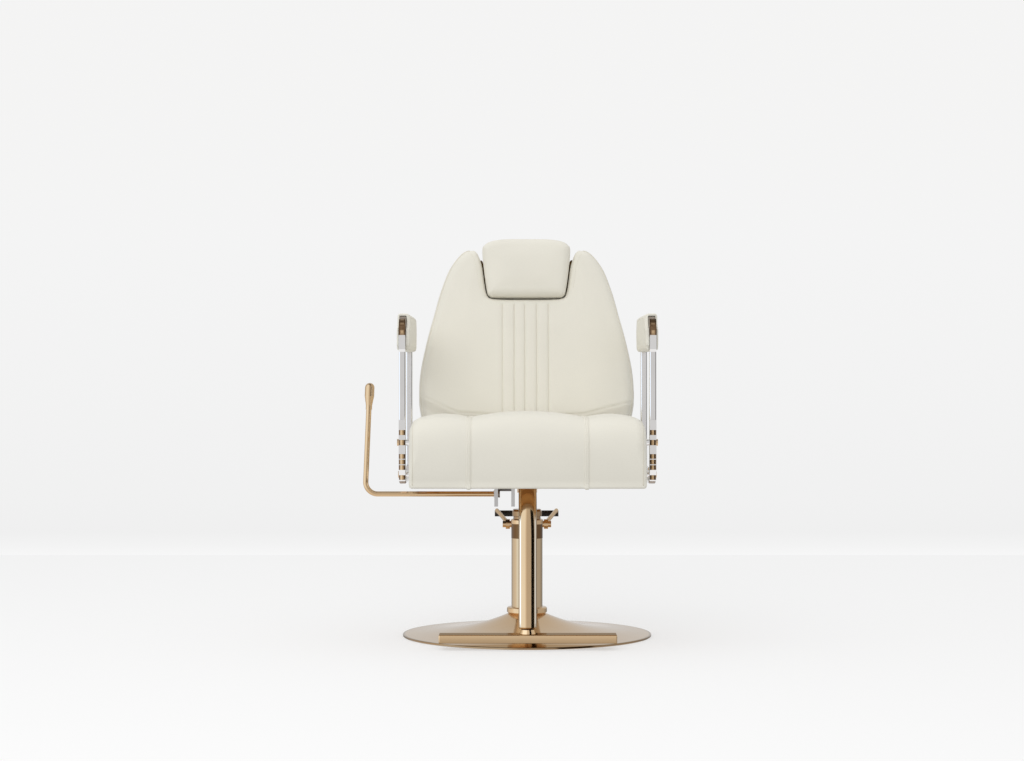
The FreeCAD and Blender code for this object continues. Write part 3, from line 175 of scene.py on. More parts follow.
def painted(name, color, rough, metallic=0.0, texture=700.0, strength=0.25):
    m, nt, b = new_material(name)
    v = coords(nt)
    geo = nt.nodes.new("ShaderNodeNewGeometry")
    tone = mix_color(nt, remap(nt, noise(nt, v, 30.0), 0.0, 1.0, 0.3, 0.7), tuple(c * 0.85 for c in color), tuple(min(c * 1.15, 1) for c in color))
    edge = remap(nt, geo.outputs["Pointiness"], 0.0, 0.6, 0.53, 0.62)
    nt.links.new(mix_color(nt, edge, tone, tuple(min(c * 2.2 + 0.03, 1) for c in color)), b.inputs["Base Color"])
    set_in(b, Metallic=metallic)
    nt.links.new(remap(nt, noise(nt, v, 90.0), rough - 0.06, rough + 0.08), b.inputs["Roughness"])
    bump(nt, b, noise(nt, v, texture, 2.0), strength, 0.00015)
    return m


def rubber(name, color):
    m, nt, b = new_material(name)
    v = coords(nt)
    tone = mix_color(nt, noise(nt, v, 120.0, 4.0), tuple(c * 0.7 for c in color), tuple(c * 1.6 for c in color))
    nt.links.new(tone, b.inputs["Base Color"])
    nt.links.new(remap(nt, noise(nt, v, 200.0), 0.55, 0.8), b.inputs["Roughness"])
    wave = add(nt, "ShaderNodeTexWave", [("Vector", v), ("Scale", 95.0), ("Distortion", 0.0)], _wave_type="BANDS", _bands_direction="X").outputs["Fac"]
    n1 = add(nt, "ShaderNodeBump", [("Height", wave), ("Strength", 0.6), ("Distance", 0.0006)]).outputs[0]
    bump(nt, b, noise(nt, v, 900.0, 3.0), 0.3, 0.0002, n1)
    return m


def plywood(name):
    m, nt, b = new_material(name)
    v = coords(nt, (1.0, 1.0, 1.0))
    plies = add(nt, "ShaderNodeTexWave", [("Vector", v), ("Scale", 95.0), ("Distortion", 0.4), ("Detail", 1.0)], _wave_type="BANDS", _bands_direction="Z").outputs["Fac"]
    long_grain = noise(nt, coords(nt, (4.0, 60.0, 60.0)), 3.0, 6.0, 0.65)
    face = mix_color(nt, long_grain, (0.70, 0.43, 0.17), (0.84, 0.56, 0.26))
    tone = mix_color(nt, remap(nt, plies, 0.0, 0.35, 0.45, 0.6), face, (0.40, 0.22, 0.09))
    nt.links.new(tone, b.inputs["Base Color"])
    nt.links.new(remap(nt, long_grain, 0.5, 0.72), b.inputs["Roughness"])
    bump(nt, b, long_grain, 0.3, 0.0003)
    return m


CREAM = (0.795, 0.768, 0.680)
M_LEATHER = leather("cream_leather", CREAM)
M_LEATHER_BACK = leather("cream_leather_rear", CREAM, 0.99)
# dark brown for the piping in the headrest gap: painted shade for that gap
M_GAP_SHADE_CORD = leather("brown_cord_painted_gap_shade", (0.105, 0.058, 0.018))
next(n for n in M_GAP_SHADE_CORD.node_tree.nodes if n.type == "BSDF_PRINCIPLED").inputs["Specular IOR Level"].default_value = 0.12
next(n for n in M_GAP_SHADE_CORD.node_tree.nodes if n.type == "BSDF_PRINCIPLED").inputs["Sheen Weight"].default_value = 0.0
next(n for n in M_GAP_SHADE_CORD.node_tree.nodes if n.type == "BSDF_PRINCIPLED").inputs["Coat Weight"].default_value = 0.0
M_THREAD, nt_, b_ = new_material("cream_thread")
v_ = coords(nt_)
twist = add(nt_, "ShaderNodeTexWave", [("Vector", v_), ("Scale", 700.0), ("Distortion", 1.0)], _wave_type="BANDS", _bands_direction="DIAGONAL").outputs["Fac"]
nt_.links.new(mix_color(nt_, twist, (0.66, 0.62, 0.50), (0.84, 0.81, 0.71)), b_.inputs["Base Color"])
bump(nt_, b_, twist, 0.5, 0.0002)
set_in(b_, Roughness=0.7, Sheen_Weight=0.2)

GOLD = (0.690, 0.480, 0.280)
M_GOLD = metal("champagne_gold", GOLD, 0.10, 0.05)
M_GOLD_SATIN = metal("champagne_gold_satin", tuple(c * 0.86 for c in GOLD), 0.24, 0.08, fine_bump=0.12)
M_CHROME = metal("polished_chrome", (0.875, 0.855, 0.845), 0.08, 0.05)
M_STEEL = metal("machined_steel", (0.56, 0.56, 0.57), 0.30, 0.10, (0.08, 1.0, 1.0), 0.6, 0.35)
M_BLACK_STEEL = painted("black_powder_coat", (0.022, 0.022, 0.024), 0.42)
M_BRONZE_COAT = painted("bronze_powder_coat", (0.42, 0.235, 0.085), 0.5)
M_STRUT = painted("strut_black", (0.012, 0.012, 0.013), 0.22, 0.0, 500.0, 0.05)
M_CAST = painted("cast_iron", (0.055, 0.053, 0.052), 0.7, 0.3, 260.0, 0.7)
M_RUBBER = rubber("black_rubber", (0.016, 0.016, 0.017))
M_PLY = plywood("birch_ply")
M_NYLON = painted("ivory_nylon", (0.62, 0.60, 0.54), 0.45, 0.0, 900.0, 0.1)
M_PLASTIC = painted("black_plastic", (0.02, 0.02, 0.02), 0.5, 0.0, 1200.0, 0.3)

# a darker, browner copy of the gold for the pedal bushes: painted shade
M_GOLD_PAINTED_SHADE = metal("champagne_gold_painted_shade", (0.30, 0.165, 0.075), 0.16, 0.06)
M_BRACKET = metal("bracket_chrome", (0.62, 0.605, 0.60), 0.14, 0.06)
M_DARK_STEEL = metal("dark_steel", (0.20, 0.185, 0.175), 0.34, 0.10, None, 0.5, 0.25)


def gold_with_painted_reflections():
    """Gold with painted dark reflections: dark bands across the ribs and corner caps, and darker sides round the small
    ferrules.
    """
    m = metal("champagne_gold_painted_reflections", GOLD, 0.14, 0.06)
    nt = m.node_tree
    b = next(n for n in nt.nodes if n.type == "BSDF_PRINCIPLED")
    plain = b.inputs["Base Color"].links[0].from_socket
    tc = nt.nodes.new("ShaderNodeTexCoord")
    sep = nt.nodes.new("ShaderNodeSeparateXYZ")
    nt.links.new(tc.outputs["Object"], sep.inputs[0])
    # painted dark reflection along the ferrules' sides
    off = math_node(nt, "ABSOLUTE", math_node(nt, "SUBTRACT", math_node(nt, "ABSOLUTE", sep.outputs[0]), 0.2930))
    side = remap(nt, off, 0.0, 1.0, 0.0018, 0.0054)
    # painted reflection bands across the corner caps, by height
    ramp = nt.nodes.new("ShaderNodeValToRGB")
    nt.links.new(remap(nt, sep.outputs[2], 0.0, 1.0, 0.720, 0.770), ramp.inputs[0])
    els = ramp.color_ramp.elements
    els[0].position, els[0].color = 0.0, (0, 0, 0, 1)
    els[1].position, els[1].color = 1.0, (0.35, 0.35, 0.35, 1)
    for z, v in ((0.7225, 0.0), (0.7235, 0.5), (0.7275, 0.35), (0.7290, 0.0), (0.7330, 0.05), (0.7350, 0.85), (0.7470, 0.95), (0.7490, 0.45),
                 (0.7515, 0.45), (0.7530, 0.92), (0.7575, 0.85), (0.7590, 0.35), (0.7640, 0.25)):
        e = els.new((z - 0.720) / 0.05)
        e.color = (v, v, v, 1)
    streak = noise(nt, coords(nt, (1.0, 1.0, 3.0)), 260.0, 3.0, 0.6)
    mottle = remap(nt, streak, 0.72, 1.0, 0.3, 0.7)
    shade = math_node(nt, "MULTIPLY", math_node(nt, "MAXIMUM", math_node(nt, "MULTIPLY", side, 1.0), ramp.outputs[0]), mottle)
    # the painted dark reflection colour
    nt.links.new(mix_color(nt, shade, plain, (0.075, 0.030, 0.012)), b.inputs["Base Color"])
    return m


M_GOLD_PAINTED_REFLECTIONS = gold_with_painted_reflections()


def capped_chrome():
    """Chrome whose front corners carry the same painted dark reflection as the caps let into them."""
    m = metal("chrome_with_painted_dark_corners", (0.875, 0.855, 0.845), 0.08, 0.05)
    nt = m.node_tree
    b = next(n for n in nt.nodes if n.type == "BSDF_PRINCIPLED")
    plain = b.inputs["Base Color"].links[0].from_socket
    tc = nt.nodes.new("ShaderNodeTexCoord")
    sep = nt.nodes.new("ShaderNodeSeparateXYZ")
    nt.links.new(tc.outputs["Object"], sep.inputs[0])
    front = remap(nt, sep.outputs[1], 1.0, 0.0, -0.150, -0.146)
    top = remap(nt, sep.outputs[2], 0.0, 1.0, 0.7195, 0.7200)
    foot = remap(nt, sep.outputs[2], 1.0, 0.0, 0.3830, 0.3840)
    streak = noise(nt, coords(nt, (1.0, 1.0, 4.0)), 210.0, 3.0, 0.6)
    mottle = remap(nt, streak, 0.65, 1.0, 0.35, 0.65)
    # painted dark reflection at the front top and foot corners
    shade = math_node(nt, "MULTIPLY", math_node(nt, "MULTIPLY", front, math_node(nt, "MAXIMUM", top, foot)), mottle)
    nt.links.new(mix_color(nt, shade, plain, (0.21, 0.125, 0.065)), b.inputs["Base Color"])
    return m


M_LOOP = capped_chrome()


def rimmed_gold():
    """The base plate's gold, browner on its rolled rim: a painted dark reflection."""
    m = metal("champagne_gold_base", GOLD, 0.10, 0.05)
    nt = m.node_tree
    b = next(n for n in nt.nodes if n.type == "BSDF_PRINCIPLED")
    plain = b.inputs["Base Color"].links[0].from_socket
    tc = nt.nodes.new("ShaderNodeTexCoord")
    flat = add(nt, "ShaderNodeVectorMath", [(0, tc.outputs["Object"]), (1, (1.0, 1.0, 0.0))], _operation="MULTIPLY").outputs[0]
    far = add(nt, "ShaderNodeVectorMath", [(0, flat)], _operation="LENGTH").outputs["Value"]
    # painted dark reflection on the rolled rim
    rim = math_node(nt, "MULTIPLY", remap(nt, far, 0.0, 0.72, 0.2935, 0.2965), remap(nt, noise(nt, coords(nt), 40.0), 0.85, 1.0))
    nt.links.new(mix_color(nt, rim, plain, (0.20, 0.125, 0.065)), b.inputs["Base Color"])
    return m


M_DISC = rimmed_gold()


def gold_with_painted_bands(name, source, bands, where=None):
    """Gold with painted light in bands, as painted dark reflections and painted highlights: source gives a number from
    the object coordinates, bands are (place, amount of a darker or paler gold).
    """
    m = metal(name, GOLD, 0.10, 0.05)
    nt = m.node_tree
    b = next(n for n in nt.nodes if n.type == "BSDF_PRINCIPLED")
    colour = b.inputs["Base Color"].links[0].from_socket
    value = source(nt)
    for lo, hi, soft, tone, amount in bands:
        rise = remap(nt, value, 0.0, 1.0, lo - soft, lo + soft)
        fall = remap(nt, value, 1.0, 0.0, hi - soft, hi + soft)
        streak = remap(nt, noise(nt, coords(nt, (1.0, 1.0, 0.12)), 160.0, 3.0, 0.6), 0.95, 1.0, 0.3, 0.7)
        shade = math_node(nt, "MULTIPLY", math_node(nt, "MULTIPLY", rise, fall), math_node(nt, "MULTIPLY", streak, amount))
        if where is not None:
            shade = math_node(nt, "MULTIPLY", shade, where(nt))
        colour = mix_color(nt, shade, colour, tone)
    nt.links.new(colour, b.inputs["Base Color"])
    return m


def axis_value(axis, absolute=False):
    def source(nt):
        tc = nt.nodes.new("ShaderNodeTexCoord")
        sep = nt.nodes.new("ShaderNodeSeparateXYZ")
        nt.links.new(tc.outputs["Object"], sep.inputs[0])
        return math_node(nt, "ABSOLUTE", sep.outputs[axis]) if absolute else sep.outputs[axis]
    return source


def up_value(nt):
    geo = nt.nodes.new("ShaderNodeNewGeometry")
    sep = nt.nodes.new("ShaderNodeSeparateXYZ")
    nt.links.new(geo.outputs["True Normal"], sep.inputs[0])
    return sep.outputs[2]


def front_side(nt):
    """1 on the column's front, 0 behind it."""
    return remap(nt, axis_value(1)(nt), 1.0, 0.0, -0.004, 0.010)


# painted dark reflection bands round the pump head's front
M_HEAD = gold_with_painted_bands("champagne_gold_pump_head", axis_value(2), [(0.15, 0.2708, 0.0004, (0.15, 0.078, 0.032), 1.0), (0.2815, 0.33, 0.0004, (0.36, 0.23, 0.125), 1.0)], front_side)
# painted highlight lines near the post's sides, with painted dark edges beyond them
M_POST = gold_with_painted_bands("champagne_gold_post", axis_value(0, True), [(0.0158, 0.0186, 0.0006, (1.0, 0.95, 0.84), 1.0), (0.0194, 0.05, 0.0005, (0.30, 0.21, 0.12), 1.0)])


def graded_bar():
    """The footrest bar, with painted light: a painted highlight (paler gold) under its top edge, painted shade
    (browner) towards the rounded underside, and a painted reflection on its upward faces and in its browner specular
    tint.
    """
    m = metal("champagne_gold_footrest", GOLD, 0.10, 0.03)
    nt = m.node_tree
    b = next(n for n in nt.nodes if n.type == "BSDF_PRINCIPLED")
    z = axis_value(2)(nt)
    colour = b.inputs["Base Color"].links[0].from_socket
    # painted highlight band under the top edge
    colour = mix_color(nt, remap(nt, z, 0.0, 1.0, 0.024, 0.034), colour, (0.90, 0.64, 0.38))
    # painted shade towards the rounded underside
    colour = mix_color(nt, remap(nt, z, 1.0, 0.0, 0.0165, 0.0215), colour, (0.33, 0.22, 0.12))
    # painted reflection on faces that look up
    colour = mix_color(nt, remap(nt, up_value(nt), 0.0, 1.0, 0.80, 0.95), colour, (0.56, 0.39, 0.225))
    nt.links.new(colour, b.inputs["Base Color"])
    set_in(b, **{"Specular Tint": (0.46, 0.34, 0.20, 1.0)})
    return m


M_BAR = graded_bar()
# painted reflection: the whole pump tube is mixed towards a paler gold
M_TUBE = gold_with_painted_bands("champagne_gold_tube", axis_value(0, True), [(-0.01, 0.05, 0.0005, (0.60, 0.45, 0.285), 1.0)])
# painted reflection: the base plate's specular is tinted browner towards its front, under the footrest bar
for disc_with_painted_front in (M_DISC,):
    tree = disc_with_painted_front.node_tree
    shader = next(n for n in tree.nodes if n.type == "BSDF_PRINCIPLED")
    front = remap(tree, axis_value(1)(tree), 1.0, 0.0, -0.262, -0.225)
    tree.links.new(mix_color(tree, front, (1.0, 1.0, 1.0), (0.66, 0.53, 0.38)), shader.inputs["Specular Tint"])

SLOT_MATERIAL = {
    "champagne_gold": M_GOLD, "polished_chrome": M_CHROME, "machined_steel": M_STEEL, "black_steel": M_BLACK_STEEL,
    "cast_weight": M_CAST, "cream_upholstery": M_LEATHER, "birch_ply": M_PLY, "black_rubber": M_RUBBER,
    "bearing_plastic": M_NYLON, "black_plastic": M_PLASTIC,
}
for row in frame["record"]["subparts"]:
    o = NODES[row["node"]]
    material = SLOT_MATERIAL[row["material_slot"]]
    material = {"gas_cylinder": M_STRUT, "pump_head": M_HEAD, "footrest_post": M_POST, "footrest_bar": M_BAR, "pump_tube": M_TUBE, "arm_ferrules": M_GOLD_PAINTED_REFLECTIONS, "gas_head": M_DARK_STEEL, "release_button": M_DARK_STEEL,
                "recline_bracket": M_BRACKET, "footrest_bracket": M_GOLD, "lever_cam": M_DARK_STEEL, "arm_loop_left": M_LOOP, "arm_loop_right": M_LOOP,
                "arm_standoffs": M_CHROME, "seat_frame": M_BRONZE_COAT, "mount_plate": M_BRONZE_COAT, "base_cover": M_DISC, "pedal_bushes": M_GOLD_PAINTED_SHADE}.get(row["node"], material)
    o.data.materials.clear()
    o.data.materials.append(material)


# ------------------------------------------------------------------ mesh from a closed implicit surface
def surface_net(f, xs, ys, zs, rounds=4):
    """Quads on the surface f = 0 (negative inside), from a rectilinear grid, then each point moved onto the surface. In mm."""
    X, Y, Z = np.meshgrid(xs, ys, zs, indexing="ij")
    F = f(X, Y, Z)
    P = np.stack([X, Y, Z], -1)
    s = F < 0
    n0, n1, n2 = (k - 1 for k in F.shape)

    def corner(a, i, j, k):
        return a[i:i + n0, j:j + n1, k:k + n2]

    total = sum(corner(s, i, j, k).astype(np.int8) for i in (0, 1) for j in (0, 1) for k in (0, 1))
    active = (total > 0) & (total < 8)
    index = np.full(active.shape, -1, np.int64)
    index[active] = np.arange(active.sum())
    acc = np.zeros((int(active.sum()), 3))
    cnt = np.zeros(int(active.sum()))
    corners = [(0, 0, 0), (1, 0, 0), (0, 1, 0), (0, 0, 1), (1, 1, 0), (1, 0, 1), (0, 1, 1), (1, 1, 1)]
    values = {c: corner(F, *c)[active] for c in corners}
    points = {c: corner(P, *c)[active] for c in corners}
    for a in corners:
        for axis in range(3):
            if a[axis]:
                continue
            b = tuple(v + (1 if k == axis else 0) for k, v in enumerate(a))
            fa, fb = values[a], values[b]
            cross = (fa < 0) != (fb < 0)
            t = np.where(cross, fa / np.where(cross, fa - fb, 1.0), 0.0)
            acc += np.where(cross[:, None], points[a] + t[:, None] * (points[b] - points[a]), 0.0)
            cnt += cross
    V = acc / cnt[:, None]
    quads = []
    c = s[:-1, 1:-1, 1:-1] != s[1:, 1:-1, 1:-1]
    i, j, k = np.nonzero(c)
    q = np.stack([index[i, j, k], index[i, j + 1, k], index[i, j + 1, k + 1], index[i, j, k + 1]], 1)
    flip = s[1:, 1:-1, 1:-1][c]
    q[flip] = q[flip][:, ::-1]
    quads.append(q)
    c = s[1:-1, :-1, 1:-1] != s[1:-1, 1:, 1:-1]
    i, j, k = np.nonzero(c)
    q = np.stack([index[i, j, k], index[i, j, k + 1], index[i + 1, j, k + 1], index[i + 1, j, k]], 1)
    flip = s[1:-1, 1:, 1:-1][c]
    q[flip] = q[flip][:, ::-1]
    quads.append(q)
    c = s[1:-1, 1:-1, :-1] != s[1:-1, 1:-1, 1:]
    i, j, k = np.nonzero(c)
    q = np.stack([index[i, j, k], index[i + 1, j, k], index[i + 1, j + 1, k], index[i, j + 1, k]], 1)
    flip = s[1:-1, 1:-1, 1:][c]
    q[flip] = q[flip][:, ::-1]
    quads.append(q)
    Q = np.concatenate(quads)
    for _ in range(rounds):
        e = 0.25
        v = f(V[:, 0], V[:, 1], V[:, 2])
        g = np.stack([
            f(V[:, 0] + e, V[:, 1], V[:, 2]) - f(V[:, 0] - e, V[:, 1], V[:, 2]),
            f(V[:, 0], V[:, 1] + e, V[:, 2]) - f(V[:, 0], V[:, 1] - e, V[:, 2]),
            f(V[:, 0], V[:, 1], V[:, 2] + e) - f(V[:, 0], V[:, 1], V[:, 2] - e)], 1) / (2 * e)
        step = (v / np.maximum((g ** 2).sum(1), 0.05))[:, None] * g
        size = np.linalg.norm(step, axis=1, keepdims=True)
        V -= step * np.minimum(1.0, 1.5 / np.maximum(size, 1e-9))
    return V, Q


def make_mesh(name, V, Q, transform=None):
    if transform is not None:
        V = transform(V)
    me = bpy.data.meshes.new(name)
    me.vertices.add(len(V))
    me.vertices.foreach_set("co", (V * MM).astype(np.float32).ravel())
    me.loops.add(Q.size)
    me.loops.foreach_set("vertex_index", Q.astype(np.int32).ravel())
    me.polygons.add(len(Q))
    width = Q.shape[1]
    me.polygons.foreach_set("loop_start", np.arange(0, Q.size, width, dtype=np.int32))
    me.update(calc_edges=True)
    me.validate()
    me.polygons.foreach_set("use_smooth", np.ones(len(me.polygons), bool))
    o = bpy.data.objects.new(name, me)
    scene.collection.objects.link(o)
    return o


def grid(lo, hi, step, fine=(), fine_step=1.25, fine_half=6.0):
    """Grid lines from lo to hi, closer together around the places in fine."""
    out = [lo]
    while out[-1] < hi:
        near = any(abs(out[-1] + step * 0.5 - c) < fine_half + step * 0.5 for c in fine)
        out.append(out[-1] + (fine_step if near else step))
    return np.array(out)


def smooth(t):
    t = np.clip(t, 0.0, 1.0)
    return t * t * (3 - 2 * t)


def puff(label, f, xs, ys, zs, pinned, pressure=4.0, frames=20, cap=14.0):
    """Inflates a coarse copy of a cushion as cloth, with the seams held, and returns its movement as a field over space."""
    V, Q = surface_net(f, xs, ys, zs, 3)
    o = make_mesh(label + "_cloth", V, Q)
    hold = o.vertex_groups.new(name="hold")
    w = pinned(V[:, 0], V[:, 1], V[:, 2])
    for i, weight in enumerate(w):
        if weight > 0.01:
            hold.add([i], float(min(weight, 1.0)), "REPLACE")
    m = o.modifiers.new("Cloth", "CLOTH")
    s = m.settings
    s.quality = 6
    s.mass = 0.25
    s.tension_stiffness = 12
    s.compression_stiffness = 12
    s.shear_stiffness = 6
    s.bending_stiffness = 0.6
    s.air_damping = 2
    s.use_pressure = True
    s.uniform_pressure_force = pressure
    s.vertex_group_mass = "hold"
    s.pin_stiffness = 2
    s.effector_weights.gravity = 0
    m.point_cache.frame_start = 1
    m.point_cache.frame_end = frames + 2
    for k in range(1, frames + 1):
        scene.frame_set(k)
    dg = bpy.context.evaluated_depsgraph_get()
    e = o.evaluated_get(dg)
    co = np.zeros(len(e.data.vertices) * 3, np.float32)
    e.data.vertices.foreach_get("co", co)
    moved = co.reshape(-1, 3).astype(float) / MM
    scene.frame_set(1)
    me = o.data
    bpy.data.objects.remove(o)
    bpy.data.meshes.remove(me)
    D = moved - V
    size = np.linalg.norm(D, axis=1, keepdims=True)
    D *= np.minimum(1.0, cap / np.maximum(size, 1e-9))
    # splat to a coarse lattice, blur, and read back anywhere
    cell = 8.0
    lo = V.min(0) - 4 * cell
    shape = tuple(((V.max(0) - lo) / cell + 5).astype(int))
    acc = np.zeros(shape + (3,))
    cnt = np.zeros(shape)
    g = (V - lo) / cell
    b = np.floor(g).astype(int)
    fr = g - b
    for dx in (0, 1):
        for dy in (0, 1):
            for dz in (0, 1):
                wt = (fr[:, 0] if dx else 1 - fr[:, 0]) * (fr[:, 1] if dy else 1 - fr[:, 1]) * (fr[:, 2] if dz else 1 - fr[:, 2])
                ix = (b[:, 0] + dx, b[:, 1] + dy, b[:, 2] + dz)
                np.add.at(acc, ix, D * wt[:, None])
                np.add.at(cnt, ix, wt)
    for _ in range(2):
        for ax in range(3):
            for a_ in (acc, cnt):
                r = a_ * 0.5
                lead = [slice(None)] * a_.ndim
                trail = [slice(None)] * a_.ndim
                lead[ax], trail[ax] = slice(1, None), slice(None, -1)
                r[tuple(lead)] += a_[tuple(trail)] * 0.25
                r[tuple(trail)] += a_[tuple(lead)] * 0.25
                a_[...] = r
    field = acc / np.maximum(cnt, 1e-6)[..., None]
    top = np.array(shape) - 2

    def read(P):
        g2 = np.clip((P - lo) / cell, 0, top + 0.999)
        b2 = np.minimum(np.floor(g2).astype(int), top)
        f2 = g2 - b2
        out = np.zeros_like(P)
        for dx in (0, 1):
            for dy in (0, 1):
                for dz in (0, 1):
                    wt = (f2[:, 0] if dx else 1 - f2[:, 0]) * (f2[:, 1] if dy else 1 - f2[:, 1]) * (f2[:, 2] if dz else 1 - f2[:, 2])
                    out += field[b2[:, 0] + dx, b2[:, 1] + dy, b2[:, 2] + dz] * wt[:, None]
        return out

    print("puff", label, len(V), "points, mean move %.2f mm, most %.2f" % (float(np.abs(D).mean()), float(size.max())))
    return read


def surface_tree(o):
    return BVHTree.FromObject(o, bpy.context.evaluated_depsgraph_get())


def drop_on(tree, point, direction, reach=0.2):
    hit, normal, _, _ = tree.ray_cast(Vector(point), Vector(direction), reach)
    return (hit, normal) if hit is not None else (None, None)


def resample(points, pitch):
    P = np.array([list(p) for p in points], float)
    d = np.linalg.norm(np.diff(P, axis=0), axis=1)
    s = np.concatenate([[0], np.cumsum(d)])
    n = max(int(round(s[-1] / pitch)), 2)
    t = np.linspace(0, s[-1], n + 1)
    return np.stack([np.interp(t, s, P[:, k]) for k in range(3)], 1)


def tube_mesh(name, lines, radius, sides=8, flatten=1.0):
    """Rounded cords along lines of (point, normal) pairs, in metres; ends are closed."""
    V, Q, T = [], [], []
    for line in lines:
        P = np.array([list(p) for p, _ in line], float)
        N = np.array([list(n) for _, n in line], float)
        if len(P) < 3:
            continue
        tan = np.gradient(P, axis=0)
        tan /= np.maximum(np.linalg.norm(tan, axis=1, keepdims=True), 1e-12)
        N -= (N * tan).sum(1, keepdims=True) * tan
        N /= np.maximum(np.linalg.norm(N, axis=1, keepdims=True), 1e-12)
        B = np.cross(tan, N)
        base = len(V)
        for i in range(len(P)):
            taper = 1.0 if 0 < i < len(P) - 1 else 0.55
            for k in range(sides):
                a = 2 * math.pi * k / sides
                V.append(P[i] + radius * taper * (math.cos(a) * B[i] + math.sin(a) * flatten * N[i]))
        for i in range(len(P) - 1):
            for k in range(sides):
                a, b = base + i * sides + k, base + i * sides + (k + 1) % sides
                Q.append((a, b, b + sides, a + sides))
        T.append([base + k for k in range(sides)][::-1])
        T.append([base + (len(P) - 1) * sides + k for k in range(sides)])
    me = bpy.data.meshes.new(name)
    me.from_pydata([tuple(v) for v in V], [], Q + T)
    me.polygons.foreach_set("use_smooth", np.ones(len(me.polygons), bool))
    me.update()
    o = bpy.data.objects.new(name, me)
    scene.collection.objects.link(o)
    return o


def stitch_lines(line, pitch=0.0056, length=0.0040, lift=0.0003, sink=0.0005):
    """Short arched threads along a line of (point, normal) pairs."""
    P = resample([p for p, _ in line], pitch / 8)
    src = np.array([list(p) for p, _ in line], float)
    nor = np.array([list(n) for _, n in line], float)
    s_src = np.concatenate([[0], np.cumsum(np.linalg.norm(np.diff(src, axis=0), axis=1))])
    s_new = np.linspace(0, s_src[-1], len(P))
    N = np.stack([np.interp(s_new, s_src, nor[:, k]) for k in range(3)], 1)
    out = []
    span = max(int(8 * length / pitch), 4)
    i = 0
    while i + span < len(P):
        part = []
        for k in range(span + 1):
            t = k / span
            h = lift - sink * abs(2 * t - 1) ** 4
            part.append((P[i + k] + N[i + k] * h, N[i + k]))
        out.append(part)
        i += 8
    return out


# ------------------------------------------------------------------ outlines and distances
def soften(points, per=6):
    """A closed smooth curve through the points."""
    P = np.array(points, float)
    out = []
    n = len(P)
    for i in range(n):
        p0, p1, p2, p3 = P[i - 1], P[i], P[(i + 1) % n], P[(i + 2) % n]
        for k in range(per):
            t = k / per
            out.append(0.5 * (2 * p1 + (p2 - p0) * t + (2 * p0 - 5 * p1 + 4 * p2 - p3) * t ** 2 + (3 * p1 - p0 - 3 * p2 + p3) * t ** 3))
    return np.array(out)


def arc_to(points, end, radius, side, steps=14):
    """Adds an arc from the last point to end; side is +1 or -1 for which way it bows."""
    a, b = np.array(points[-1], float), np.array(end, float)
    mid, half = (a + b) / 2, np.linalg.norm(b - a) / 2
    n = np.array([-(b - a)[1], (b - a)[0]]) / (2 * half)
    c = mid - n * side * math.sqrt(max(radius ** 2 - half ** 2, 0))
    t0, t1 = math.atan2(*(a - c)[::-1]), math.atan2(*(b - c)[::-1])
    d = (t1 - t0 + math.pi) % (2 * math.pi) - math.pi
    for k in range(1, steps + 1):
        t = t0 + d * k / steps
        points.append((c[0] + radius * math.cos(t), c[1] + radius * math.sin(t)))


